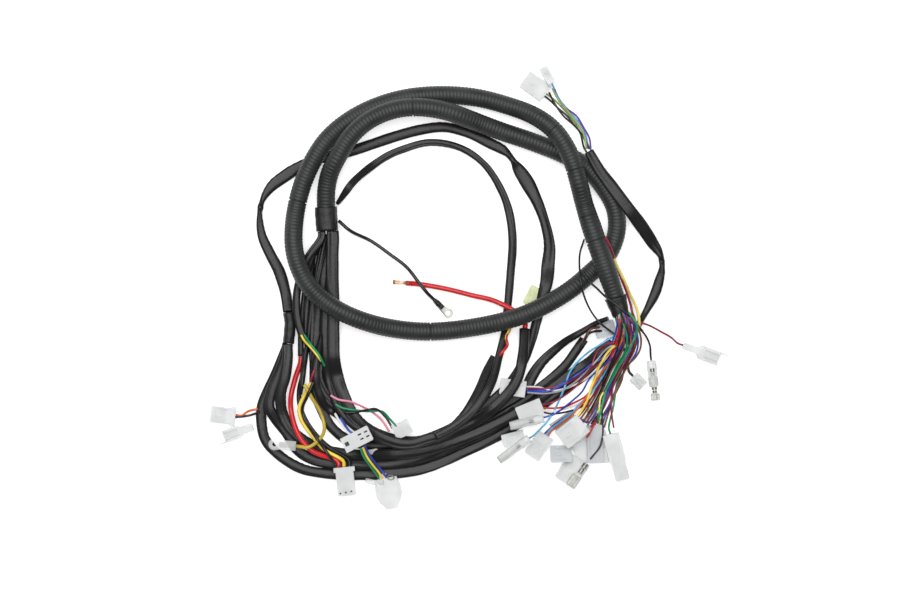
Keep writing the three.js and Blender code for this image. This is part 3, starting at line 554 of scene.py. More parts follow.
def sleeve_tube(name, path, size):
    """A soft PVC sleeve, half filled with wires: oval, uneven, with long and short creases."""
    width, thickness = size
    along = along_path(path)
    seed = seed_of(name)
    angle, side, up = oval_ring(SLEEVE_SIDES, SLEEVE_SQUARENESS)
    spread, turned = width_profile(name.removesuffix("_skin"), path)
    wide = 1 + BROAD_SWELL * wander(along, BROAD_SWELL_SPACING, seed)
    wide = wide + FINE_SWELL * wander(along, FINE_SWELL_SPACING, seed + 1)
    wide = spread * np.minimum(wide, MOST_SWELL)
    thick = 1 / np.sqrt(np.maximum(wide, 0.6))
    roll = turned + SWAY * (1 - thickness / width) * wander(along, 0.05, seed + 2)

    # Short folds on the inside of a bend
    bend = bend_of(path)
    folds = np.clip(np.abs(bend) * width - FOLD_START, 0, DEEPEST_FOLD)
    inner = np.maximum(0, np.outer(np.sign(-bend), np.cos(angle)))
    ripple = np.sin(2 * np.pi * along / FOLD_SPACING + 2 * wander(along, 0.01, seed + 3))
    crease = 1 - FOLD_SHARE * (folds * (0.5 + 0.5 * ripple))[:, None] * inner

    # Lumps of the wires within, and long grooves where the skin sinks in between them
    lumps = [wander(along, LUMP_SPACING, seed + 5 + k % 5) for k in range(SLEEVE_SIDES)]
    lumps = np.minimum(1 + LUMP * np.stack(lumps, axis=1), MOST_LUMP)
    groove = np.zeros((len(along), SLEEVE_SIDES))
    for k, share in enumerate(GROOVES):
        centre = math.pi * (share + 0.14 * wander(along, 0.045, seed + 20 + k))
        depth = GROOVE_DEPTH * np.clip(0.35 + wander(along, 0.03, seed + 30 + k), 0, 1)
        groove += depth[:, None] * np.exp(-((angle[None, :] - centre[:, None]) / GROOVE_WIDTH) ** 2)

    a = side * (width / 2 * wide)[:, None] * crease * lumps
    b = up * (thickness / 2 * thick)[:, None] * lumps * (1 - groove)
    cos, sin = np.cos(roll)[:, None], np.sin(roll)[:, None]
    side_offsets, up_offsets = a * cos - b * sin, a * sin + b * cos
    lifted = path.copy()
    lifted[:, 2] = np.maximum(path[:, 2], -up_offsets.min(axis=1) + FLOOR_GAP)
    return tube_mesh(name, lifted, side_offsets, up_offsets)


def tape_tube(name, path, size, share):
    """Wound tape, each turn over the last one; share is the far end's size over the near end's."""
    width, thickness = size
    along = along_path(path)
    angle, side, up = oval_ring(TAPE_SIDES, TAPE_SQUARENESS)
    turn = (along[:, None] / TAPE_PITCH + angle / (2 * np.pi)) % 1
    step = TAPE_LIFT * (turn - 0.5)
    seed = seed_of(name)
    pucker = PUCKER_HEIGHT * np.sin(PUCKERS * angle + seed) * wander(along, 0.006, seed)[:, None]
    narrow = (1 - (1 - share) * along / along[-1])[:, None]
    a = side * (width / 2 * narrow + step + pucker)
    b = up * (thickness / 2 * narrow + step + pucker)
    return tube_mesh(name, path, a, b)


def wire_tube(name, path, diameter, sides=WIRE_SIDES):
    radius = np.full(len(path), diameter / 2)
    return round_tube(name, path, radius, radius, sides)


def add_stripe(piece, kind, sides, share=0.25):
    """A coloured stripe along a wire, in a slow spiral."""
    piece.data.materials.append(MATERIALS[kind])
    for face in piece.data.polygons:
        row, column = divmod(face.index, sides)
        if (column + row // 4) % sides < share * sides:
            face.material_index = len(piece.data.materials) - 1


# Where the conduit's surface is parted across
SEAMS = (
    (-0.0465, 0.1515), (-0.0305, -0.0345), (-0.1445, 0.0715), (0.0705, 0.133), (0.0885, 0.099),
    (0.1005, 0.0595), (0.1055, 0.042),
)
# Where a sleeve is wider or narrower than its mean width
WIDTHS = {
    "main_conduit": (
        ((0.098, 0.0705), 1.0), ((0.103, 0.051), 1.1), ((0.1145, 0.0175), 1.1), ((0.1205, -0.001), 1.0),
    ),
    "outer_loop_sleeve": (
        ((-0.1535, -0.0035), 1.0), ((-0.159, 0.015), 1.1), ((-0.17, 0.038), 0.95),
        ((-0.175, 0.063), 0.6), ((-0.172, 0.0765), 0.62), ((-0.1635, 0.088), 1.15),
        ((-0.15, 0.0965), 1.25), ((-0.1375, 0.1035), 1.0), ((-0.0575, 0.1295), 1.1),
        ((-0.0325, 0.135), 1.0), ((0.0015, 0.1305), 0.9), ((0.0265, 0.1195), 1.0),
        ((0.0355, 0.111), 0.72), ((0.0435, 0.099), 1.2), ((0.049, 0.09), 1.35), ((0.055, 0.078), 1.15),
        ((0.0645, 0.0545), 0.95), ((0.068, 0.036), 1.15), ((0.067, 0.0225), 1.35),
        ((0.0655, 0.0065), 1.25), ((0.0625, -0.009), 1.0), ((0.0525, -0.0445), 0.9),
        ((0.0325, -0.0815), 0.9), ((0.0015, -0.1065), 1.0),
    ),
    "bunch_sleeve_inner": (
        ((0.0645, -0.0655), 1.0), ((0.077, -0.0485), 0.78), ((0.088, -0.0405), 0.68),
        ((0.0985, -0.033), 0.55), ((0.1145, -0.0255), 0.4),
    ),
    "bunch_sleeve_middle": (
        ((0.0645, -0.0805), 1.0), ((0.087, -0.059), 0.85), ((0.096, -0.043), 0.8),
    ),
    "charge_sleeve": (
        ((-0.123, -0.0385), 0.25), ((-0.125, -0.0495), 0.9), ((-0.1195, -0.0985), 1.0),
        ((-0.1095, -0.1075), 0.5),
    ),
    "stem_sleeve_middle": (
        ((-0.1245, 0.02), 1.0), ((-0.1305, -0.0345), 1.0), ((-0.1325, -0.0615), 0.3),
    ),
    "stem_sleeve_left": (
        ((-0.133, 0.012), 1.0), ((-0.1365, -0.0245), 1.0), ((-0.1365, -0.051), 0.3),
    ),
    "lug_sleeve": (
        ((-0.1355, -0.047), 0.5), ((-0.1385, -0.069), 1.0), ((-0.141, -0.088), 0.6),
    ),
    "inner_loop_sleeve": (
        ((-0.1095, 0.072), 0.5), ((-0.103, 0.0815), 0.95), ((-0.096, 0.09), 1.0),
        ((-0.0325, 0.123), 0.95), ((0.013, 0.105), 0.9), ((0.037, 0.041), 1.1),
        ((0.0305, -0.0355), 1.0), ((0.013, -0.09), 1.1),
    ),
    "instrument_sleeve": (
        ((0.1005, 0.116), 0.95), ((0.1195, 0.085), 1.15), ((0.1375, 0.063), 1.2),
        ((0.148, 0.0495), 1.3), ((0.1545, 0.0385), 1.2), ((0.161, 0.0285), 0.75),
        ((0.1625, 0.0185), 0.6), ((0.16, 0.0065), 1.0), ((0.1565, -0.004), 0.95),
        ((0.1515, -0.015), 0.65), ((0.145, -0.026), 0.5),
    ),
    "right_side_sleeve": (
        ((-0.114, 0.033), 1.1), ((-0.114, -0.009), 1.3), ((-0.1135, -0.058), 1.4),
        ((-0.105, -0.0905), 1.4), ((-0.088, -0.115), 1.2), ((-0.0575, -0.129), 1.05),
        ((-0.023, -0.122), 0.9), ((0.009, -0.085), 0.95), ((0.0225, -0.057), 1.05),
    ),
}
# Where a flat sleeve turns over
TWISTS = {
    "outer_loop_sleeve": ((-0.1735, 0.069), (0.0365, 0.11)),
    "instrument_sleeve": ((0.162, 0.0235),),
}

# Each CAD cord's size, material and route in plan, from the exit to the far end
CORDS = {
    "main_conduit": (CONDUIT, "conduit", [
        (-0.1195, 0.069), (-0.119, 0.083), (-0.116, 0.0965), (-0.109, 0.1105), (-0.1005, 0.1245),
        (-0.0895, 0.136), (-0.075, 0.145), (-0.0575, 0.1505), (-0.04, 0.1515), (-0.0195, 0.1485),
        (0.0015, 0.1415), (0.0265, 0.1325), (0.0515, 0.124), (0.077, 0.114), (0.097, 0.1035),
        (0.112, 0.087), (0.1225, 0.068), (0.124, 0.048), (0.1165, 0.0285), (0.1005, 0.012),
        (0.0785, -0.005), (0.045, -0.022), (0.0015, -0.0325), (-0.0405, -0.0355), (-0.081, -0.029),
        (-0.114, -0.0145), (-0.134, 0.004), (-0.1445, 0.0285), (-0.1455, 0.0565), (-0.14, 0.084),
        (-0.1305, 0.1065), (-0.117, 0.1265), (-0.0985, 0.142), (-0.077, 0.153), (-0.0525, 0.16),
        (-0.024, 0.1625), (0.0055, 0.1605), (0.033, 0.1535), (0.055, 0.1445), (0.0705, 0.133),
        (0.08, 0.12), (0.087, 0.105), (0.092, 0.088), (0.097, 0.0695), (0.1045, 0.0455), (0.113, 0.021),
        (0.1225, -0.0065),
    ]),
    "tape_wrap_a": (TAPE, "tape", [
        (0.1226, -0.0068), (0.1249, -0.0144), (0.1273, -0.0221),
    ]),
    "tape_wrap_b": (TAPE, "tape", [
        (-0.1195, 0.0687), (-0.119, 0.0587), (-0.1184, 0.0487),
    ]),
    "joint_tape": (JOINT_TAPE, "tape", [
        (-0.151, -0.0195), (-0.1495, -0.0275), (-0.15, -0.037), (-0.151, -0.0455),
    ]),
    "bunch_sleeve_outer": (MID, "sleeve", [
        (-0.1515, -0.046), (-0.1555, -0.057), (-0.1615, -0.0715), (-0.168, -0.0855), (-0.1735, -0.1),
        (-0.1735, -0.1135), (-0.17, -0.127), (-0.1575, -0.1405), (-0.139, -0.151), (-0.117, -0.155),
        (-0.0945, -0.156), (-0.0745, -0.1555), (-0.056, -0.154), (-0.0405, -0.1515), (-0.023, -0.1455),
        (-0.005, -0.1375), (0.0095, -0.131), (0.0315, -0.1195), (0.0515, -0.105), (0.071, -0.0905),
        (0.0895, -0.078), (0.1035, -0.067), (0.1145, -0.0565), (0.1235, -0.046),
    ]),
    "bunch_sleeve_middle": (MID, "sleeve", [
        (-0.1137, 0.0487), (-0.1135, 0.044), (-0.119, 0.0225), (-0.1245, -0.009), (-0.1275, -0.0385),
        (-0.129, -0.0645), (-0.128, -0.0865), (-0.123, -0.1015), (-0.1155, -0.115), (-0.103, -0.1255),
        (-0.086, -0.1305), (-0.0645, -0.131), (-0.0405, -0.1325), (-0.0155, -0.1265), (0.008, -0.1165),
        (0.0265, -0.106), (0.039, -0.0985), (0.049, -0.0925), (0.059, -0.084), (0.07, -0.075),
        (0.081, -0.0645), (0.0895, -0.053), (0.097, -0.042),
    ]),
    "bunch_sleeve_inner": (MID, "sleeve", [
        (-0.1137, 0.0487), (-0.1135, 0.044), (-0.114, 0.0225), (-0.117, -0.009), (-0.1205, -0.0385),
        (-0.1245, -0.0565), (-0.1265, -0.073), (-0.1205, -0.088), (-0.1095, -0.0985), (-0.096, -0.1085),
        (-0.0795, -0.12), (-0.06, -0.1265), (-0.039, -0.1275), (-0.0155, -0.121), (0.003, -0.112),
        (0.019, -0.1025), (0.0315, -0.095), (0.0415, -0.089), (0.0485, -0.0825), (0.0535, -0.073),
        (0.0615, -0.0615), (0.0725, -0.051), (0.082, -0.0435), (0.0945, -0.036), (0.107, -0.0285),
        (0.1165, -0.0245),
    ]),
    "bunch_sleeve_lower": (MID, "sleeve", [
        (-0.1515, -0.046), (-0.1535, -0.057), (-0.159, -0.0715), (-0.165, -0.0855), (-0.167, -0.0985),
        (-0.1615, -0.109), (-0.1525, -0.121), (-0.144, -0.1345), (-0.1315, -0.1425), (-0.1145, -0.1465),
        (-0.0945, -0.1475), (-0.0745, -0.1475), (-0.057, -0.1455), (-0.044, -0.1435), (-0.027, -0.138),
        (-0.0085, -0.1295), (0.0095, -0.122), (0.0265, -0.112), (0.04, -0.1025),
    ]),
    "bunch_sleeve_upper": (MID, "sleeve", [
        (-0.1515, -0.046), (-0.1515, -0.058), (-0.1535, -0.073), (-0.157, -0.0875), (-0.1565, -0.101),
        (-0.1505, -0.115), (-0.138, -0.127), (-0.1205, -0.135), (-0.1035, -0.1385), (-0.0845, -0.1395),
        (-0.061, -0.138), (-0.0375, -0.135), (-0.014, -0.128), (0.0095, -0.119), (0.0315, -0.108),
        (0.0515, -0.0975), (0.071, -0.083), (0.087, -0.071), (0.1005, -0.0615), (0.111, -0.052),
        (0.12, -0.044),
    ]),
    "outer_loop_sleeve": (WIDE, "sleeve", [
        (-0.151, -0.019), (-0.1535, -0.0035), (-0.159, 0.015), (-0.1665, 0.0295), (-0.1735, 0.046),
        (-0.175, 0.0655), (-0.1725, 0.0755), (-0.165, 0.0865), (-0.154, 0.095), (-0.1405, 0.1035),
        (-0.123, 0.11), (-0.101, 0.115), (-0.0825, 0.121), (-0.06, 0.1285), (-0.039, 0.134),
        (-0.0205, 0.136), (-0.003, 0.132), (0.018, 0.1225), (0.0315, 0.115), (0.0415, 0.1015),
        (0.051, 0.0865), (0.0585, 0.0715), (0.0645, 0.0545), (0.068, 0.036), (0.067, 0.021),
        (0.0655, 0.0065), (0.0615, -0.009), (0.0575, -0.026), (0.0525, -0.0445), (0.045, -0.063),
        (0.0325, -0.0815), (0.018, -0.095), (0.0015, -0.1065), (-0.0165, -0.1175), (-0.0365, -0.126),
        (-0.054, -0.1295),
    ]),
    "inner_loop_sleeve": (SLIM, "sleeve", [
        (-0.1095, 0.072), (-0.1035, 0.08), (-0.096, 0.09), (-0.0825, 0.102), (-0.0685, 0.1115),
        (-0.056, 0.117), (-0.0325, 0.123), (-0.007, 0.1185), (0.013, 0.105), (0.0275, 0.083),
        (0.034, 0.0645), (0.037, 0.041), (0.0355, 0.015), (0.033, -0.0135), (0.0305, -0.0355),
        (0.0255, -0.0565), (0.0205, -0.075), (0.013, -0.09), (0.002, -0.1035), (-0.012, -0.115),
        (-0.0275, -0.1235),
    ]),
    "right_side_sleeve": (WIDE, "sleeve", [
        (-0.1137, 0.0487), (-0.1135, 0.044), (-0.114, 0.0225), (-0.114, -0.001), (-0.114, -0.0275),
        (-0.1135, -0.058), (-0.1105, -0.075), (-0.105, -0.0905), (-0.098, -0.104), (-0.088, -0.115),
        (-0.0715, -0.1245), (-0.0575, -0.129), (-0.046, -0.129), (-0.034, -0.125), (-0.023, -0.122),
        (-0.0145, -0.117), (-0.002, -0.1035), (0.009, -0.085), (0.0155, -0.0705), (0.0225, -0.0575),
    ]),
    "black_lead_sleeve": (LEAD, "sleeve", [
        (-0.1231, 0.0482), (-0.1229, 0.0435), (-0.1275, 0.016), (-0.1325, -0.022), (-0.1355, -0.047),
        (-0.1385, -0.0695), (-0.142, -0.085), (-0.1415, -0.0975), (-0.1365, -0.11), (-0.128, -0.122),
        (-0.117, -0.1325), (-0.1002, -0.1436), (-0.0997, -0.1483),
    ]),
    "supply_sleeve": (ROUND, "sleeve", [
        (-0.1231, 0.0482), (-0.1229, 0.0435), (-0.1325, 0.0225), (-0.138, -0.009), (-0.1405, -0.0345),
        (-0.1405, -0.0565),
    ]),
    "short_sleeve": (SLIM, "sleeve", [
        (-0.1231, 0.0482), (-0.1229, 0.0435), (-0.1365, 0.0225), (-0.143, 0.001), (-0.144, -0.016),
        (-0.142, -0.0295), (-0.1385, -0.0405),
    ]),
    "supply_branch_sleeve": (MID, "sleeve", [
        (0.047, -0.0335), (0.046, -0.0495), (0.0435, -0.0655), (0.0385, -0.079), (0.0305, -0.09),
        (0.0195, -0.1005), (0.008, -0.109), (-0.0055, -0.1165), (-0.023, -0.124), (-0.038, -0.128),
        (-0.0525, -0.13),
    ]),
    "instrument_sleeve": (WIDE, "sleeve", [
        (0.1005, 0.115), (0.1095, 0.099), (0.12, 0.085), (0.129, 0.073), (0.144, 0.0535),
        (0.1545, 0.0385), (0.161, 0.0285), (0.1625, 0.0185), (0.16, 0.0065), (0.1565, -0.004),
        (0.151, -0.015), (0.1455, -0.025), (0.1415, -0.033),
    ]),
    "supply_lead": (SUPPLY, "wire_red", [
        (-0.052, 0.005), (-0.0405, 0.004), (-0.018, 0), (0.004, -0.0055), (0.019, -0.009),
        (0.0315, -0.0145), (0.0405, -0.02), (0.0475, -0.0285), (0.047, -0.0332),
    ]),
    "supply_wire": (SUPPLY, "wire_red", [
        (-0.1405, -0.0568), (-0.1408, -0.0615), (-0.1455, -0.0755), (-0.149, -0.0925), (-0.147, -0.109),
        (-0.1405, -0.125), (-0.13, -0.136), (-0.1094, -0.1446), (-0.1089, -0.1492),
    ]),
    "charge_wire": (THICK, "wire_yellow", [
        (-0.128, -0.072), (-0.1375, -0.089), (-0.142, -0.1), (-0.14, -0.11), (-0.1315, -0.1225),
        (-0.122, -0.1335), (-0.1048, -0.1441), (-0.1043, -0.1488),
    ]),
    "lug_wire": (THICK, "wire_mustard", [
        (-0.1442, -0.1315), (-0.1396, -0.1319), (-0.135, -0.1325), (-0.1275, -0.1285),
        (-0.1215, -0.121), (-0.121, -0.1135), (-0.1245, -0.1025), (-0.1305, -0.092), (-0.1375, -0.08),
    ]),
    "earth_lead": (THICK, "wire_black", [
        (-0.1085, 0.057), (-0.0985, 0.0485), (-0.082, 0.0405), (-0.065, 0.0285), (-0.052, 0.0185),
        (-0.0405, 0.004), (-0.034, -0.004), (-0.0323, -0.0056), (-0.0289, -0.0088),
    ]),
    "two_way_wire_orange": (THIN, "wire_orange", [
        (-0.1951, -0.1056), (-0.1904, -0.1062), (-0.185, -0.1025), (-0.1765, -0.1005),
    ]),
    "instrument_wire_black": (FAN_WIRE, "wire_black", [
        (0.064, 0.1617), (0.0678, 0.159), (0.0735, 0.1535), (0.0835, 0.1445), (0.093, 0.132),
        (0.0964, 0.1185), (0.0986, 0.1143),
    ]),
    "indicator_wire_blue": (FAN_WIRE, "wire_sky", [
        (0.0698, 0.1714), (0.072, 0.1672), (0.077, 0.158), (0.088, 0.146), (0.097, 0.1325),
        (0.0999, 0.1204), (0.1021, 0.1162),
    ]),
    "cap_wire_black": (FAN_WIRE, "wire_black", [
        (0.1297, -0.0216), (0.1311, -0.0261), (0.13, -0.047), (0.1335, -0.062), (0.1347, -0.0697),
        (0.138, -0.073),
    ]),
    "spade_wire_black": (FAN_WIRE, "wire_black", [
        (0.1321, -0.0209), (0.1335, -0.0254), (0.1405, -0.031), (0.1475, -0.038), (0.152, -0.047),
        (0.1528, -0.0551), (0.1533, -0.0598),
    ]),
    "horn_wire": (FAN_WIRE, "wire_dark_red", [
        (0.1321, -0.0209), (0.1335, -0.0254), (0.1405, -0.0275), (0.15, -0.03), (0.161, -0.0355),
        (0.17, -0.0405), (0.1756, -0.0454), (0.18, -0.0471),
    ]),
    "fan_wire_blue": (FAN_WIRE, "wire_blue", [
        (0.125, -0.0231), (0.1263, -0.0276), (0.127, -0.043), (0.113, -0.0565), (0.0955, -0.0685),
        (0.077, -0.08), (0.0645, -0.0845), (0.0526, -0.0847), (0.0479, -0.084),
    ]),
    "fan_wire_sky": (FAN_WIRE, "wire_sky", [
        (0.1226, -0.0238), (0.1239, -0.0283), (0.125, -0.036), (0.114, -0.044), (0.0985, -0.0545),
        (0.0855, -0.0685), (0.08, -0.083), (0.074, -0.0965), (0.066, -0.1095), (0.0565, -0.12),
        (0.055, -0.1217), (0.0512, -0.1244),
    ]),
    "fan_wire_yellow": (THIN, "wire_yellow", [
        (0.125, -0.0231), (0.1263, -0.0276), (0.1275, -0.0385), (0.1195, -0.05), (0.11, -0.0645),
        (0.104, -0.0805), (0.1, -0.0925), (0.0995, -0.1085), (0.0959, -0.1114),
    ]),
    "fan_wire_green": (FAN_WIRE, "wire_green", [
        (0.1297, -0.0216), (0.1311, -0.0261), (0.1325, -0.043), (0.1305, -0.0615), (0.1245, -0.0805),
        (0.122, -0.0975), (0.1175, -0.1164), (0.1187, -0.1209),
    ]),
}


class Ground:
    """The height of the top surface of everything laid so far, on a grid in plan."""

    cell = 0.0005
    margin = 0.01

    def __init__(self, low, high):
        self.low = np.array(low[:2]) - self.margin
        size = np.ceil((np.array(high[:2]) + self.margin - self.low) / self.cell).astype(int)
        self.height = np.zeros(size)

    def window(self, x, y, reach):
        """The cells round x, y, and how far each one lies from there."""
        i, j = ((np.array([x, y]) - self.low) / self.cell).astype(int)
        n = int(reach / self.cell) + 1
        i0, j0 = max(0, i - n), max(0, j - n)
        part = self.height[i0:i + n + 1, j0:j + n + 1]
        xs = self.low[0] + (np.arange(i0, i0 + part.shape[0]) + 0.5) * self.cell - x
        ys = self.low[1] + (np.arange(j0, j0 + part.shape[1]) + 0.5) * self.cell - y
        return part, np.hypot(xs[:, None], ys[None, :])

    def add_path(self, path, half_width, half_height):
        """Raises the surface to the top of a tube along path."""
        for x, y, z in path[::2]:
            part, distance = self.window(x, y, half_width)
            dome = z + half_height * np.sqrt(np.clip(1 - (distance / half_width) ** 2, 0, 1))
            np.maximum(part, np.where(distance < half_width, dome, 0), out=part)

    def add_node(self, node):
        """Raises the surface to the top of a CAD block."""
        tree = node_tree(node)
        low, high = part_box(node)
        i0, j0 = ((np.array(low[:2]) - self.low) / self.cell).astype(int)
        i1, j1 = ((np.array(high[:2]) - self.low) / self.cell).astype(int) + 1
        for i in range(i0, i1, 2):
            for j in range(j0, j1, 2):
                x, y = self.low + (np.array([i, j]) + 0.5) * self.cell
                hit, _, _, _ = tree.ray_cast(Vector((x, y, RAY_START)), Vector((0, 0, -1)))
                if hit is not None:
                    part = self.height[i:i + 2, j:j + 2]
                    np.maximum(part, hit.z, out=part)

    def under(self, x, y, reach):
        """The highest surface within reach of x, y."""
        part, distance = self.window(x, y, reach)
        inside = distance <= reach
        return float(part[inside].max()) if inside.any() else 0.0


ground = Ground(*cad_bounds)
paths = {}


def lay_cad_cords():
    """The skins of all the CAD cords, on the heights of their solids."""
    for name, (size, kind, points) in CORDS.items():
        spacing = CONDUIT_STATIONS if kind == "conduit" else CORD_STATIONS
        path = route_in_node(name, points, spacing)
        paths[name] = path
        if kind == "conduit":
            piece = ribbed_tube("conduit", path)
        elif kind == "sleeve":
            size = (size[0] * (SPREAD if size is MID else 1), size[1])
            piece = sleeve_tube(name + "_skin", path, size)
        elif kind == "tape":
            share = TAPE_A_TAPER if name == "tape_wrap_a" else 1.0
            piece = tape_tube(name + "_skin", path, size, share)
        else:
            piece = wire_tube(name + "_skin", path, size[0])
        finish_piece(piece, kind, name)
        ground.add_path(path, size[0] / 2, size[1] / 2)


make_camera()
make_stage()
lay_cad_cords()

# Housings and terminals
EDGE_ROUND = 0.35 * MM
MOULD_ROUND = 0.22 * MM
EDGE_ANGLE = math.radians(35)
WALL = 1.2 * MM
# How deep a raised detail is rooted in its wall
ROOTED = 0.5 * MM
SLOT_DEPTH = 2 * MM
# The thickness of the black sheet of painted shade at the bottom of each slot
SLOT_SHADE_SHEET = 0.2 * MM
WIRE_HOLE_DEPTH = 2.2 * MM
WIRE_HOLE_SHARE = 0.42
# Rails along the top: their width, height, and distances from the side, the back and the front
RAIL_WIDTH, RAIL_HEIGHT = 0.7 * MM, 0.3 * MM
RAIL_INSET, RAIL_FROM_BACK, RAIL_FROM_FRONT = 2.4 * MM, 4.2 * MM, 4.6 * MM
# The latch on the top: where it starts and ends behind the front, half its width at both, its height
LATCH_BACK, LATCH_FRONT = 9 * MM, 4.4 * MM
LATCH_BACK_HALF, LATCH_FRONT_HALF, LATCH_HEIGHT = 1.6 * MM, 1.2 * MM, 0.6 * MM
# Receptacles: their sheet and curl, where they lie behind the front, and their share of a cavity
SHEET = 0.3 * MM
CURL_SHARE = 0.32
RECEPTACLE_FRONT, RECEPTACLE_BACK = 1.6 * MM, 9 * MM
RECEPTACLE_WIDTH_SHARE, RECEPTACLE_HEIGHT_SHARE = 0.82, 0.7
SHRINK_SLEEVE_RADIUS, SHRINK_SLEEVE_HEIGHT, SHRINK_SLEEVE_SIDES = 1.9 * MM, 2.2 * MM, 20
# Clear tubes: the sides and the rings of their skin, and its swell
SHELL_SIDES, SHELL_RINGS, SHELL_SWELL = 28, 15, 0.05
# Crimps: their sheet, the gap between the two, and the bore's share of the outside
CRIMP_SHEET, CRIMP_GAP, CRIMP_BORE = 0.4 * MM, 0.6 * MM, 0.7
# A terminal's box, neck and rear crimp as shares of its length, and its crimps' radii of half its width
BOX_SHARE, NECK_SHARE, CRIMP_SHARE = 0.42, 0.16, 0.2
CORE_CRIMP_RADIUS, SKIN_CRIMP_RADIUS = 0.5, 0.62
CRIMP_FACES = ((0, 1, 2, 3), (7, 6, 5, 4), (0, 4, 5, 1), (1, 5, 6, 2), (2, 6, 7, 3), (3, 7, 4, 0))
BOX_FACES = ((3, 2, 1, 0), (4, 5, 6, 7), (0, 1, 5, 4), (1, 2, 6, 5), (2, 3, 7, 6), (3, 0, 4, 7))


def piece_of(name, bm):
    mesh = bpy.data.meshes.new(name)
    bm.to_mesh(mesh)
    bm.free()
    piece = bpy.data.objects.new(name, mesh)
    bpy.context.collection.objects.link(piece)
    return piece


def add_box(bm, low, high):
    """A closed box between two corners."""
    x0, y0, z0 = low
    x1, y1, z1 = high
    corners = [(x, y, z) for z in (z0, z1) for x, y in ((x0, y0), (x1, y0), (x1, y1), (x0, y1))]
    v = [bm.verts.new(c) for c in corners]
    for face in BOX_FACES:
        bm.faces.new([v[k] for k in face])


def add_plate(bm, outline, low, high):
    """A closed plate with an outline in plan, from height low to high."""
    bottom = [bm.verts.new((x, y, low)) for x, y in outline]
    top = [bm.verts.new((x, y, high)) for x, y in outline]
    bm.faces.new(bottom[::-1])
    bm.faces.new(top)
    for k in range(len(outline)):
        n = (k + 1) % len(outline)
        bm.faces.new([bottom[k], bottom[n], top[n], top[k]])


class Place:
    """A CAD block's own directions: x forwards to its mating end, y to its left, z up."""

    def __init__(self, node, heading):
        angle = math.radians(heading)
        self.cos, self.sin = math.cos(angle), math.sin(angle)
        points = np.array([v.co[:] for v in frame["nodes"][node].data.vertices])
        x = points[:, 0] * self.cos + points[:, 1] * self.sin
        y = -points[:, 0] * self.sin + points[:, 1] * self.cos
        self.centre = ((x.min() + x.max()) / 2, (y.min() + y.max()) / 2)
        self.length, self.width = x.max() - x.min(), y.max() - y.min()
        self.base, self.top = points[:, 2].min(), points[:, 2].max()
        self.height = self.top - self.base

    def out(self, x, y, z):
        x, y = x + self.centre[0], y + self.centre[1]
        return (x * self.cos - y * self.sin, x * self.sin + y * self.cos, z + self.base)

    def piece(self, name, bm):
        """A piece from a mesh in the block's directions, moved to its place."""
        piece = piece_of(name, bm)
        for vertex in piece.data.vertices:
            vertex.co = self.out(*vertex.co)
        return piece


def bevel(piece, width=EDGE_ROUND):
    modifier = piece.modifiers.new("rounded_edges", "BEVEL")
    modifier.width = width
    modifier.segments = 2
    modifier.limit_method = "ANGLE"
    modifier.angle_limit = EDGE_ANGLE


def boolean(piece, other, operation):
    """Cuts other out of piece or joins it on, and deletes other."""
    modifier = piece.modifiers.new("cuts", "BOOLEAN")
    modifier.operation = operation
    modifier.object = other
    modifier.solver = "EXACT"
    mesh = bpy.data.meshes.new_from_object(piece.evaluated_get(bpy.context.evaluated_depsgraph_get()))
    piece.modifiers.clear()
    piece.data = mesh
    bpy.data.objects.remove(other)


def copied_node(node, name):
    """A copy of a CAD block with its flat faces whole again."""
    bm = bmesh.new()
    bm.from_mesh(frame["nodes"][node].data)
    bmesh.ops.remove_doubles(bm, verts=bm.verts, dist=0.00002)
    bmesh.ops.dissolve_limit(bm, angle_limit=math.radians(4), verts=bm.verts, edges=bm.edges)
    return piece_of(name, bm)


def cavity_places(place, columns, rows):
    """(y, z, width, height) of each cavity's mouth."""
    inner = place.width - 2 * EDGE_ROUND
    across, up = (inner - WALL) / columns, (place.height - WALL) / rows
    for column in range(columns):
        for row in range(rows):
            y = (column - (columns - 1) / 2) * across
            z = place.height / 2 + (row - (rows - 1) / 2) * up
            yield y, z, across - WALL, up - WALL


def add_receptacle(bm, front, back, y, z, width, height):
    """A folded receptacle in a cavity: a floor, two walls and two curled edges."""
    half = width / 2
    low, high = z - height / 2, z + height / 2
    add_box(bm, (back, y - half, low), (front, y + half, low + SHEET))
    for sign in (-1, 1):
        outer = y + sign * half
        inner = outer - sign * SHEET
        add_box(bm, (back, min(outer, inner), low + SHEET), (front, max(outer, inner), high - SHEET))
        tip = outer - sign * width * CURL_SHARE
        add_box(bm, (back, min(outer, tip), high - SHEET), (front, max(outer, tip), high))


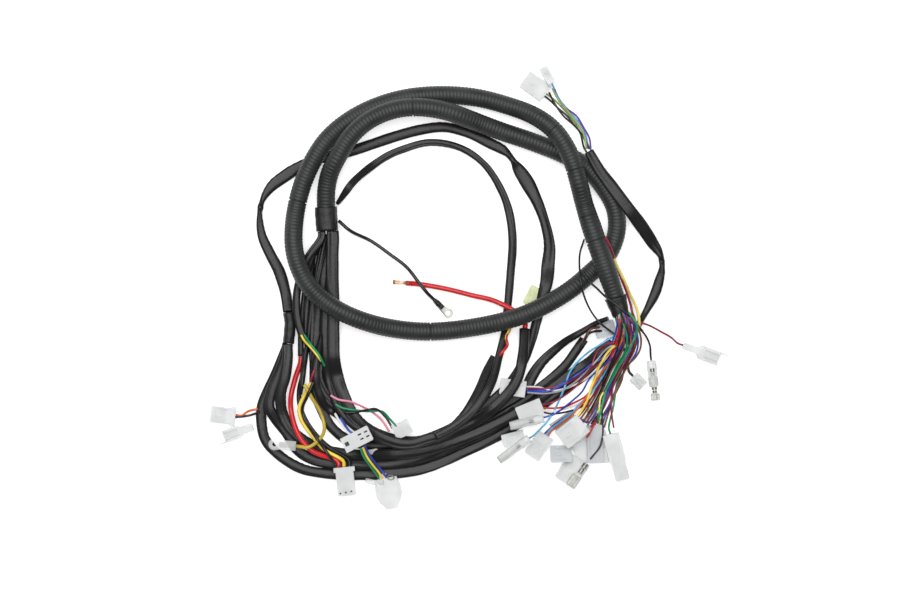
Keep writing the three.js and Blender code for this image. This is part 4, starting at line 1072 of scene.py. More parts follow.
def dress_housing(node, heading, columns, rows, slot):
    """A moulded housing: rounded edges, rails, a latch, slots in its top with a black sheet of painted
    shade at their bottom, and terminals within.
    """
    place = Place(node, heading)
    body = copied_node(node, node + "_shell")
    front, back, top = place.length / 2, -place.length / 2, place.height
    cavities = list(cavity_places(place, columns, rows))
    cuts, painted_shade_floors = bmesh.new(), bmesh.new()
    for x, y, long, wide in SLOTS.get(node, ()):
        low, high = (x - long / 2, y - wide / 2), (x + long / 2, y + wide / 2)
        add_box(cuts, (*low, top - SLOT_DEPTH), (*high, top + MM))
        # A black sheet at each slot's bottom: painted shade in the slot, not a part of the housing
        add_box(painted_shade_floors, (*low, top - SLOT_DEPTH), (*high, top - SLOT_DEPTH + SLOT_SHADE_SHEET))
    for y, z, width, height in cavities:
        half = min(width, height) * WIRE_HOLE_SHARE
        add_box(cuts, (back - MM, y - half, z - half), (back + WIRE_HOLE_DEPTH, y + half, z + half))
    boolean(body, place.piece(node + "_cuts", cuts), "DIFFERENCE")

    details = bmesh.new()
    for sign in (-1, 1) if node not in SLOTS else ():
        y = sign * (place.width / 2 - RAIL_INSET)
        add_box(
            details,
            (back + RAIL_FROM_BACK, y - RAIL_WIDTH / 2, top - ROOTED),
            (front - RAIL_FROM_FRONT, y + RAIL_WIDTH / 2, top + RAIL_HEIGHT),
        )
    if columns > 1 and node not in SLOTS:
        outline = [
            (front - LATCH_BACK, -LATCH_BACK_HALF), (front - LATCH_FRONT, -LATCH_FRONT_HALF),
            (front - LATCH_FRONT, LATCH_FRONT_HALF), (front - LATCH_BACK, LATCH_BACK_HALF),
        ]
        add_plate(details, outline, top - ROOTED, top + LATCH_HEIGHT)
    boolean(body, place.piece(node + "_details", details), "UNION")
    bevel(body, MOULD_ROUND)
    finish_piece(body, slot, node)
    # The slots' black sheets of painted shade, in the black sleeve material
    if node in SLOTS:
        finish_piece(place.piece(node + "_slot_painted_shade", painted_shade_floors), "sleeve")
    if node in CLOSED_HOUSINGS:
        return
    metal = bmesh.new()
    for y, z, width, height in cavities:
        add_receptacle(
            metal, front - RECEPTACLE_FRONT, front - RECEPTACLE_BACK, y, z,
            width * RECEPTACLE_WIDTH_SHARE, height * RECEPTACLE_HEIGHT_SHARE,
        )
    finish_piece(place.piece(node + "_terminals", metal), "tinned_brass")


def dress_single(node, heading):
    """A one-way housing: its shell, the wire's hole, two rails of a latch and its terminal."""
    place = Place(node, heading)
    body = copied_node(node, node + "_shell")
    front, top = place.length / 2, place.height
    hole, hole_depth = 1.3 * MM, 4 * MM
    cuts = bmesh.new()
    add_box(cuts, (-front - MM, -hole, top / 2 - hole), (hole_depth - front, hole, top / 2 + hole))
    boolean(body, place.piece(node + "_cuts", cuts), "DIFFERENCE")
    details = bmesh.new()
    rail_back, rail_front, rail_top = front - 19 * MM, front - 7 * MM, top + 0.4 * MM
    for y in (-3.2 * MM, 2.4 * MM):
        add_box(details, (rail_back, y, top - ROOTED), (rail_front, y + 0.8 * MM, rail_top))
    boolean(body, place.piece(node + "_details", details), "UNION")
    bevel(body, 0.3 * MM)
    finish_piece(body, "nylon", node)
    metal = bmesh.new()
    add_receptacle(metal, front - 8 * MM, front - 17 * MM, 0, top / 2, 6.2 * MM, 2.6 * MM)
    finish_piece(place.piece(node + "_terminal", metal), "tinned_brass")


def dress_clear_tube(node, place, wall):
    """A soft clear tube in a block's place, open at both ends, along the block's x."""
    bm = bmesh.new()
    stations = np.linspace(-place.length / 2, place.length / 2, SHELL_RINGS)
    angles = 2 * np.pi * np.arange(SHELL_SIDES) / SHELL_SIDES
    rings = []
    for inset, run in ((0, stations), (wall, stations[::-1])):
        for x in run:
            swell = 1 - SHELL_SWELL * math.cos(4 * math.pi * x / place.length)
            ring = []
            for angle in angles:
                y = (place.width / 2 - inset) * math.cos(angle) * swell
                z = place.height / 2 + (place.height / 2 - inset) * math.sin(angle)
                ring.append(bm.verts.new((x, y, z)))
            rings.append(ring)
    for a, b in zip(rings, rings[1:] + rings[:1]):
        for k in range(SHELL_SIDES):
            n = (k + 1) % SHELL_SIDES
            bm.faces.new([a[k], a[n], b[n], b[k]])
    bmesh.ops.recalc_face_normals(bm, faces=bm.faces)
    shell = place.piece(node + "_skin", bm)
    shell.data.shade_smooth()
    finish_piece(shell, "clear_pvc", node)


def add_crimp(bm, start, end, radius, base):
    """A strip rolled round most of a circle of the given radius, on a flat foot."""
    angles = np.linspace(-math.pi / 2, 1.4 * math.pi, 15)
    ring = [(radius * math.cos(a), base + radius + radius * math.sin(a)) for a in angles]
    for (ya, za), (yb, zb) in zip(ring, ring[1:]):
        quad = [(start, ya, za), (end, ya, za), (end, yb, zb), (start, yb, zb)]
        centre = base + radius
        inner = [(x, y * CRIMP_BORE, centre + (z - base - radius) * CRIMP_BORE) for x, y, z in quad]
        v = [bm.verts.new(c) for c in quad + inner]
        for face in CRIMP_FACES:
            bm.faces.new([v[k] for k in face])
    add_box(bm, (start, -radius * 0.6, base), (end, radius * 0.6, base + CRIMP_SHEET))


def crimped_terminal(name, place, x0, x1, width, height, base=0.0):
    """A female blade terminal: a rolled box at x1, a neck and two crimps towards x0."""
    bm = bmesh.new()
    box_back = x1 - BOX_SHARE * (x1 - x0)
    neck = box_back - NECK_SHARE * (x1 - x0)
    crimp = x0 + CRIMP_SHARE * (x1 - x0)
    half = width / 2
    add_receptacle(bm, x1, box_back, 0, base + height / 2, width, height)
    outline = [(neck, -half * 0.5), (box_back, -half), (box_back, half), (neck, half * 0.5)]
    add_plate(bm, outline, base, base + CRIMP_SHEET)
    add_crimp(bm, crimp + CRIMP_GAP, neck, CORE_CRIMP_RADIUS * half, base)
    add_crimp(bm, x0, crimp, SKIN_CRIMP_RADIUS * half, base)
    bmesh.ops.recalc_face_normals(bm, faces=bm.faces)
    terminal = place.piece(name, bm)
    bevel(terminal, 0.12 * MM)
    finish_piece(terminal, "tinned_brass")
    return terminal


def dress_clear_sleeve(node, heading, proud):
    """A clear sleeve with its blade terminal inside, which stands proud of the mouth."""
    place = Place(node, heading)
    dress_clear_tube(node, place, 0.55 * MM)
    crimped_terminal(
        node + "_terminal", place,
        -place.length * 0.2, place.length / 2 + proud - 0.5 * MM,
        place.width - 1.6 * MM, 2.4 * MM, place.height / 2 - 1.2 * MM,
    )


def dress_bare_terminal(node, heading):
    """A blade terminal with no cover, as large as its block."""
    place = Place(node, heading)
    half = place.length / 2
    crimped = crimped_terminal(node + "_blade", place, -half, half, place.width, place.height)
    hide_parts(node)


def dress_ring(node, heading):
    """The earth ring: a stamped ring with a rounded rim, and the shrink sleeve over its crimp."""
    place = Place(node, heading)
    ring = copied_node(node, node + "_stamping")
    bevel(ring, 0.25 * MM)
    finish_piece(ring, "tinned_brass", node)
    stations = np.linspace(-place.length / 2 - 1.5 * MM, place.length / 2 - 10 * MM, 14)
    swell = 1 + 0.35 * np.exp(-((stations - stations.mean()) / (1.6 * MM)) ** 2)
    taper = np.linspace(0.75, 1.15, len(stations))
    path = np.array([place.out(x, 0, SHRINK_SLEEVE_HEIGHT) for x in stations])
    radius = SHRINK_SLEEVE_RADIUS * swell * taper
    finish_piece(round_tube("ring_shrink_sleeve", path, radius, radius, SHRINK_SLEEVE_SIDES), "sleeve")


def dress_lug(node, heading):
    """The clear lug: a soft cover moulded round a ring terminal, with an ear at its side."""
    place = Place(node, heading)
    cover = copied_node(node, node + "_cover")
    bevel(cover, 0.6 * MM)
    cover.data.shade_smooth()
    finish_piece(cover, "clear_pvc", node)
    half = place.length / 2
    crimped_terminal(node + "_terminal", place, -half + MM, half - 9 * MM, 4.4 * MM, 1.8 * MM, 0.8 * MM)


def dress_cap(node, heading):
    """The clear cap: a short clear tube over a terminal."""
    place = Place(node, heading)
    dress_clear_tube(node, place, 0.7 * MM)
    ends = (-place.length * 0.45, place.length * 0.4)
    crimped_terminal(node + "_terminal", place, *ends, 4.2 * MM, 2 * MM, 2 * MM)


# Each housing's heading in degrees, columns and rows of cavities, and slot
HOUSINGS = {
    "root_housing": (14, 3, 1, "grey_nylon"),
    "pale_yellow_housing": (63, 2, 1, "pale_yellow_nylon"),
    "two_way_housing": (173, 2, 1, "nylon"),
    "crossed_housing": (172, 3, 2, "nylon"),
    "small_housing": (-65, 3, 1, "nylon"),
    "three_way_housing": (-84, 3, 1, "nylon"),
    "instrument_housing": (144, 3, 2, "nylon"),
    "indicator_housing": (118, 1, 2, "nylon"),
    "four_way_housing": (27, 2, 2, "nylon"),
    "tapered_housing": (-78, 3, 1, "nylon"),
    "cluster_housing_bottom": (236, 4, 1, "nylon"),
    "cluster_housing_side": (272, 3, 1, "grey_nylon"),
    "cluster_housing_left": (194, 3, 1, "nylon"),
    "cluster_housing_upper": (202, 3, 1, "nylon"),
    "cluster_housing_corner": (236, 2, 2, "nylon"),
    "cluster_housing_low": (182, 3, 1, "grey_nylon"),
    "cluster_housing_big": (219, 3, 2, "nylon"),
    "cluster_housing_long": (285, 3, 1, "nylon"),
}
# Housings that show none of their terminals
CLOSED_HOUSINGS = ("three_way_housing", "four_way_housing", "tapered_housing")
# Slots in the top of a housing, each with a black sheet of painted shade at its bottom: their middle,
# length and width in the block's directions
SLOTS = {
    "three_way_housing": (
        (9.6 * MM, -5.2 * MM, 1.3 * MM, 1.5 * MM),
        (9.2 * MM, -0.6 * MM, 1.3 * MM, 1.5 * MM),
        (8.7 * MM, 4.1 * MM, 1.3 * MM, 1.5 * MM),
    ),
    "four_way_housing": (
        (3.8 * MM, 2.6 * MM, 3 * MM, 1.3 * MM),
        (9.4 * MM, 2.4 * MM, 3 * MM, 1.3 * MM),
        (4 * MM, -1.6 * MM, 3 * MM, 1.3 * MM),
        (9.4 * MM, -1.8 * MM, 3 * MM, 1.3 * MM),
        (-9 * MM, 0.1 * MM, 3.4 * MM, 3.4 * MM),
    ),
}
# Headings, and for a clear sleeve how far its terminal stands proud of its mouth
SINGLE_HOUSINGS = {"tail_housing": 200, "horn_housing": -21}
CLEAR_SLEEVES = {
    "spade_sleeve_upper": (193, 0.3 * MM),
    "spade_sleeve_lower": (216, 0.3 * MM),
    "spade_sleeve_right": (-84, 0.0),
}

for node, (heading, columns, rows, slot) in HOUSINGS.items():
    dress_housing(node, heading, columns, rows, slot)
for node, heading in SINGLE_HOUSINGS.items():
    dress_single(node, heading)
for node, (heading, proud) in CLEAR_SLEEVES.items():
    dress_clear_sleeve(node, heading, proud)
dress_bare_terminal("bare_terminal", 234)
dress_bare_terminal("box_terminal", -84)
dress_ring("ring_terminal", -44)
dress_lug("clear_lug", 175)
dress_cap("clear_cap", -45)
REPLACED = [
    *HOUSINGS, *SINGLE_HOUSINGS, *CLEAR_SLEEVES,
    "bare_terminal", "box_terminal", "ring_terminal", "clear_lug", "clear_cap",
]
for node in REPLACED:
    ground.add_node(node)

# Wires and sleeves with no solid, laid over what is there already: how steeply they come down and
# rise, how deep the next one sinks in beside them, how their heights are blurred, and how far out
# from their line they rest, as a share of a wire's radius and of a sleeve's width
BRIDGE_SLOPE = 0.55
RISE_SLOPE = 1.3
NESTING = 0.75
WIRE_BLUR = 2.2
SLEEVE_BLUR = 3
WIRE_REST = 0.8
SLEEVE_REST = 0.3


def height_at(where, x, y):
    """The height of a cord's line or of a block's middle, for a wire that leaves it there."""
    if where in paths:
        path = paths[where]
        return path[np.argmin(np.hypot(path[:, 0] - x, path[:, 1] - y)), 2]
    low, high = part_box(where)
    return (low[2] + high[2]) / 2


def lay_wire(name, kind, points, start, end, diameter, rise=0.0, stripe=None):
    """A wire over everything below it, from the height of one piece to that of another."""
    plan = plan_curve(points, LOOSE_WIRE_STATIONS)
    along = np.arange(len(plan)) * LOOSE_WIRE_STATIONS
    radius = diameter / 2
    z = np.array([ground.under(x, y, radius * WIRE_REST) for x, y in plan])
    z = np.maximum(z, 0) + radius
    for where, distance, (x, y) in ((start, along, plan[0]), (end, along[::-1], plan[-1])):
        if where is None:
            continue
        height = max(radius, height_at(where, x, y) + rise)
        z = np.maximum(z, height - BRIDGE_SLOPE * distance)
        z = np.minimum(z, height + RISE_SLOPE * distance)
    skirt = np.abs(along[:, None] - along[None, :]) * BRIDGE_SLOPE
    z = np.maximum(z, (z[None, :] - skirt).max(axis=1))
    z = np.maximum(smoothed(z, WIRE_BLUR), radius)
    path = np.column_stack([plan, z])
    piece = wire_tube(name, path, diameter, LOOSE_WIRE_SIDES)
    finish_piece(piece, kind)
    if stripe:
        add_stripe(piece, stripe, LOOSE_WIRE_SIDES)
    ground.add_path(path, radius, radius * (2 * NESTING - 1))
    paths[name] = path


def lay_sleeve(name, points, size, like=None, kind="sleeve"):
    """A sleeve over everything below it, or at the height of the cord named like."""
    plan = plan_curve(points, LOOSE_SLEEVE_STATIONS)
    if like:
        z = np.array([height_at(like, x, y) for x, y in plan])
    else:
        z = np.array([ground.under(x, y, size[0] * SLEEVE_REST) for x, y in plan]) + size[1] / 2
    path = np.column_stack([plan, smoothed(z, SLEEVE_BLUR)])
    finish_piece(sleeve_tube(name, path, size), kind)
    ground.add_path(path, size[0] / 2, size[1] / 2)
    paths[name] = path


# The bared strands: each one's offset across and upwards, and how far its tip splays
STRAND_DIAMETER = 1.1 * MM
STRAND_ROOT, STRAND_BEND, STRAND_REACH = 2 * MM, 4 * MM, 11.5 * MM
STRANDS = (
    (-1.2 * MM, 0.0, -0.4 * MM),
    (-0.5 * MM, 0.9 * MM, 0.1 * MM),
    (0.4 * MM, 0.8 * MM, -0.2 * MM),
    (1.2 * MM, 0.1 * MM, 0.3 * MM),
    (0.1 * MM, -0.7 * MM, 0.0),
)


def add_copper_end():
    """The bared strands at the supply lead's start."""
    x, y, z = paths["supply_lead"][0]
    for k, (across, up, splay) in enumerate(STRANDS):
        start = np.array([x + STRAND_ROOT, y + across * 0.6, z + up * 0.6])
        bend = np.array([x - STRAND_BEND, y + across * 0.8 + 0.3 * MM, z + up * 0.8])
        end = np.array([x - STRAND_REACH, y + across + splay + MM, z + up])
        path = np.vstack([start, bend, (bend + end) / 2, end])
        finish_piece(wire_tube(f"supply_strand_{k}", path, STRAND_DIAMETER, STRAND_SIDES), "copper")


add_copper_end()

# Sleeves that fill the stem below the left tape, and those over the ends of the yellow wires: name,
# width and thickness, the cord whose height each keeps, course
LOOSE_SLEEVES = [
    ("stem_sleeve_middle", (7 * MM, 4 * MM), "bunch_sleeve_middle", [
        (-0.119, 0.046), (-0.1215, 0.0355), (-0.1245, 0.02), (-0.128, 0.0035), (-0.1295, -0.009),
        (-0.1305, -0.026), (-0.132, -0.047), (-0.1325, -0.0615),
    ]),
    ("stem_sleeve_left", (6 * MM, 4 * MM), "black_lead_sleeve", [
        (-0.128, 0.037), (-0.131, 0.026), (-0.133, 0.012), (-0.135, -0.0065), (-0.1365, -0.0245),
        (-0.137, -0.0385), (-0.1365, -0.051),
    ]),
    ("stem_sleeve_right", (7.4 * MM, 4 * MM), "right_side_sleeve", [
        (-0.1205, -0.0135), (-0.121, -0.0345), (-0.1205, -0.051), (-0.1195, -0.0665), (-0.116, -0.083),
        (-0.1095, -0.0985), (-0.0995, -0.111), (-0.086, -0.121),
    ]),
    ("charge_sleeve", (6.4 * MM, 3.6 * MM), None, [
        (-0.123, -0.0385), (-0.125, -0.0495), (-0.1275, -0.0615), (-0.128, -0.073), (-0.126, -0.0855),
        (-0.1195, -0.0985), (-0.1095, -0.1075),
    ]),
    ("lug_sleeve", (5.4 * MM, 3.2 * MM), None, [
        (-0.1355, -0.047), (-0.1375, -0.058), (-0.1385, -0.069), (-0.1395, -0.079), (-0.141, -0.088),
    ]),
]
for name, size, like, points in LOOSE_SLEEVES:
    lay_sleeve(name, points, size, like)

# Wires with no solid, in the order that they are laid: name, colour, the pieces that each one leaves
# and enters, diameter, course
ROOT = "tape_wrap_a"
TOP = "instrument_sleeve"
LOOSE_WIRE = 2 * MM
FAN_DIAMETER = 1.6 * MM
FAN_THICK = 2.1 * MM
LOOSE_WIRES = [
    ("charge_red_bit", "dark_red", None, None, 2.2 * MM, [
        (-0.1285, -0.067), (-0.1305, -0.072), (-0.132, -0.0775),
    ]),
    # The instrument branch
    ("instrument_wire_olive", "olive", "instrument_housing", TOP, FAN_DIAMETER, [
        (0.0655, 0.1635), (0.0715, 0.1595), (0.0775, 0.1535), (0.0855, 0.1445), (0.092, 0.1335),
        (0.097, 0.1245), (0.099, 0.117),
    ]),
    ("instrument_wire_second", "black", "instrument_housing", TOP, FAN_DIAMETER, [
        (0.0675, 0.165), (0.0725, 0.1555), (0.0795, 0.1455), (0.089, 0.1365), (0.096, 0.127),
        (0.1005, 0.117),
    ]),
    ("indicator_wire_purple", "purple", "indicator_housing", TOP, FAN_DIAMETER, [
        (0.072, 0.167), (0.074, 0.1605), (0.0795, 0.1535), (0.0905, 0.1455), (0.096, 0.136),
        (0.101, 0.126), (0.102, 0.117),
    ]),
    ("indicator_wire_lime", "olive", "indicator_housing", TOP, FAN_DIAMETER, [
        (0.07, 0.168), (0.0745, 0.1595), (0.083, 0.1495), (0.0905, 0.139), (0.096, 0.1295),
        (0.0985, 0.1175),
    ]),
    # The left connectors
    ("two_way_wire_black", "black", "two_way_housing", None, LOOSE_WIRE, [
        (-0.1955, -0.1075), (-0.1895, -0.107), (-0.1835, -0.106), (-0.1775, -0.104), (-0.175, -0.103),
    ]),
    ("small_wire_pink", "pink", None, "small_housing", LOOSE_WIRE, [
        (-0.1155, -0.089), (-0.109, -0.0925), (-0.0985, -0.0945), (-0.0835, -0.1015), (-0.0725, -0.11),
        (-0.0665, -0.119),
    ]),
    ("small_wire_green", "green", None, "small_housing", LOOSE_WIRE, [
        (-0.1115, -0.0965), (-0.1055, -0.0995), (-0.098, -0.101), (-0.0855, -0.1025),
        (-0.0725, -0.1025), (-0.0655, -0.109), (-0.0595, -0.1155),
    ]),
    ("small_wire_black", "black", None, "small_housing", LOOSE_WIRE, [
        (-0.1035, -0.1035), (-0.0945, -0.103), (-0.086, -0.1015), (-0.0775, -0.1005), (-0.07, -0.1065),
        (-0.0635, -0.1165),
    ]),
    ("link_wire_green", "green", "four_way_housing", "tapered_housing", LOOSE_WIRE, [
        (-0.09, -0.1325), (-0.0875, -0.1395), (-0.083, -0.1465), (-0.078, -0.1535), (-0.0735, -0.1605),
    ]),
    ("link_wire_yellow", "yellow", "four_way_housing", "tapered_housing", LOOSE_WIRE, [
        (-0.088, -0.132), (-0.085, -0.1395), (-0.08, -0.147), (-0.075, -0.1535), (-0.071, -0.16),
    ]),
    ("link_wire_blue", "blue", "four_way_housing", "tapered_housing", LOOSE_WIRE, [
        (-0.0865, -0.1305), (-0.083, -0.138), (-0.0775, -0.146), (-0.072, -0.153), (-0.0675, -0.159),
    ]),
    ("ground_wire_black", "black", "short_sleeve", "three_way_housing", 2.6 * MM, [
        (-0.1295, -0.0775), (-0.1345, -0.089), (-0.139, -0.1), (-0.1375, -0.109), (-0.1295, -0.121),
        (-0.12, -0.1345), (-0.1105, -0.1485),
    ]),
    ("short_wire_yellow", "yellow", "short_sleeve", None, LOOSE_WIRE, [
        (-0.14, -0.0385), (-0.137, -0.0435), (-0.1325, -0.0485), (-0.1285, -0.053), (-0.123, -0.0605),
    ]),
    ("short_wire_green", "green", "short_sleeve", None, LOOSE_WIRE, [
        (-0.1375, -0.038), (-0.134, -0.0435), (-0.1295, -0.0495), (-0.125, -0.055), (-0.1205, -0.0645),
    ]),
    ("behind_wire_white", "white", None, "four_way_housing", LOOSE_WIRE, [
        (-0.1115, -0.104), (-0.108, -0.11), (-0.1035, -0.116), (-0.0985, -0.121),
    ]),
    ("behind_wire_blue", "blue", None, "four_way_housing", LOOSE_WIRE, [
        (-0.107, -0.1075), (-0.1035, -0.1125), (-0.0995, -0.118), (-0.096, -0.1205),
    ]),
    # Beside the conduit, and the grey housing at the root
    ("stray_wire_black", "black", None, "clear_cap", 1.7 * MM, [
        (0.097, 0.0415), (0.093, 0.028), (0.0945, 0.0015), (0.1005, -0.015), (0.109, -0.0275),
        (0.117, -0.034), (0.1235, -0.039), (0.128, -0.0445), (0.1305, -0.0515), (0.1335, -0.0615),
        (0.135, -0.069), (0.138, -0.0725),
    ]),
    ("beside_wire_red", "dark_red", None, None, 2.2 * MM, [
        (0.1135, 0.043), (0.118, 0.035), (0.1225, 0.0225), (0.127, 0.011), (0.1315, -0.001),
        (0.135, -0.0125), (0.1365, -0.02), (0.1385, -0.0255), (0.138, -0.033),
    ]),
    ("beside_wire_yellow", "cream", None, None, 2.4 * MM, [
        (0.1215, 0.025), (0.1245, 0.0185), (0.1295, 0.009), (0.1365, -0.006), (0.14, -0.014),
        (0.142, -0.022), (0.1425, -0.029), (0.1415, -0.036), (0.139, -0.0435), (0.1365, -0.0515),
        (0.133, -0.0575), (0.128, -0.0665),
    ]),
    ("over_wire_black", "black", None, None, 1.8 * MM, [
        (0.0955, 0.0145), (0.1005, 0.0065), (0.107, 0.0005), (0.1135, -0.006), (0.1195, -0.0105),
        (0.128, -0.0175), (0.1335, -0.0225), (0.1385, -0.0275), (0.1425, -0.032), (0.1455, -0.0355),
    ]),
    ("root_wire_brown", "brown", "root_housing", "bunch_sleeve_inner", LOOSE_WIRE, [
        (0.1095, -0.032), (0.1035, -0.033), (0.1, -0.036), (0.098, -0.04), (0.095, -0.0455),
    ]),
    ("root_wire_black", "black", "root_housing", "bunch_sleeve_inner", LOOSE_WIRE, [
        (0.1115, -0.035), (0.1055, -0.0355), (0.1005, -0.0375), (0.097, -0.0435), (0.0935, -0.0485),
    ]),
]
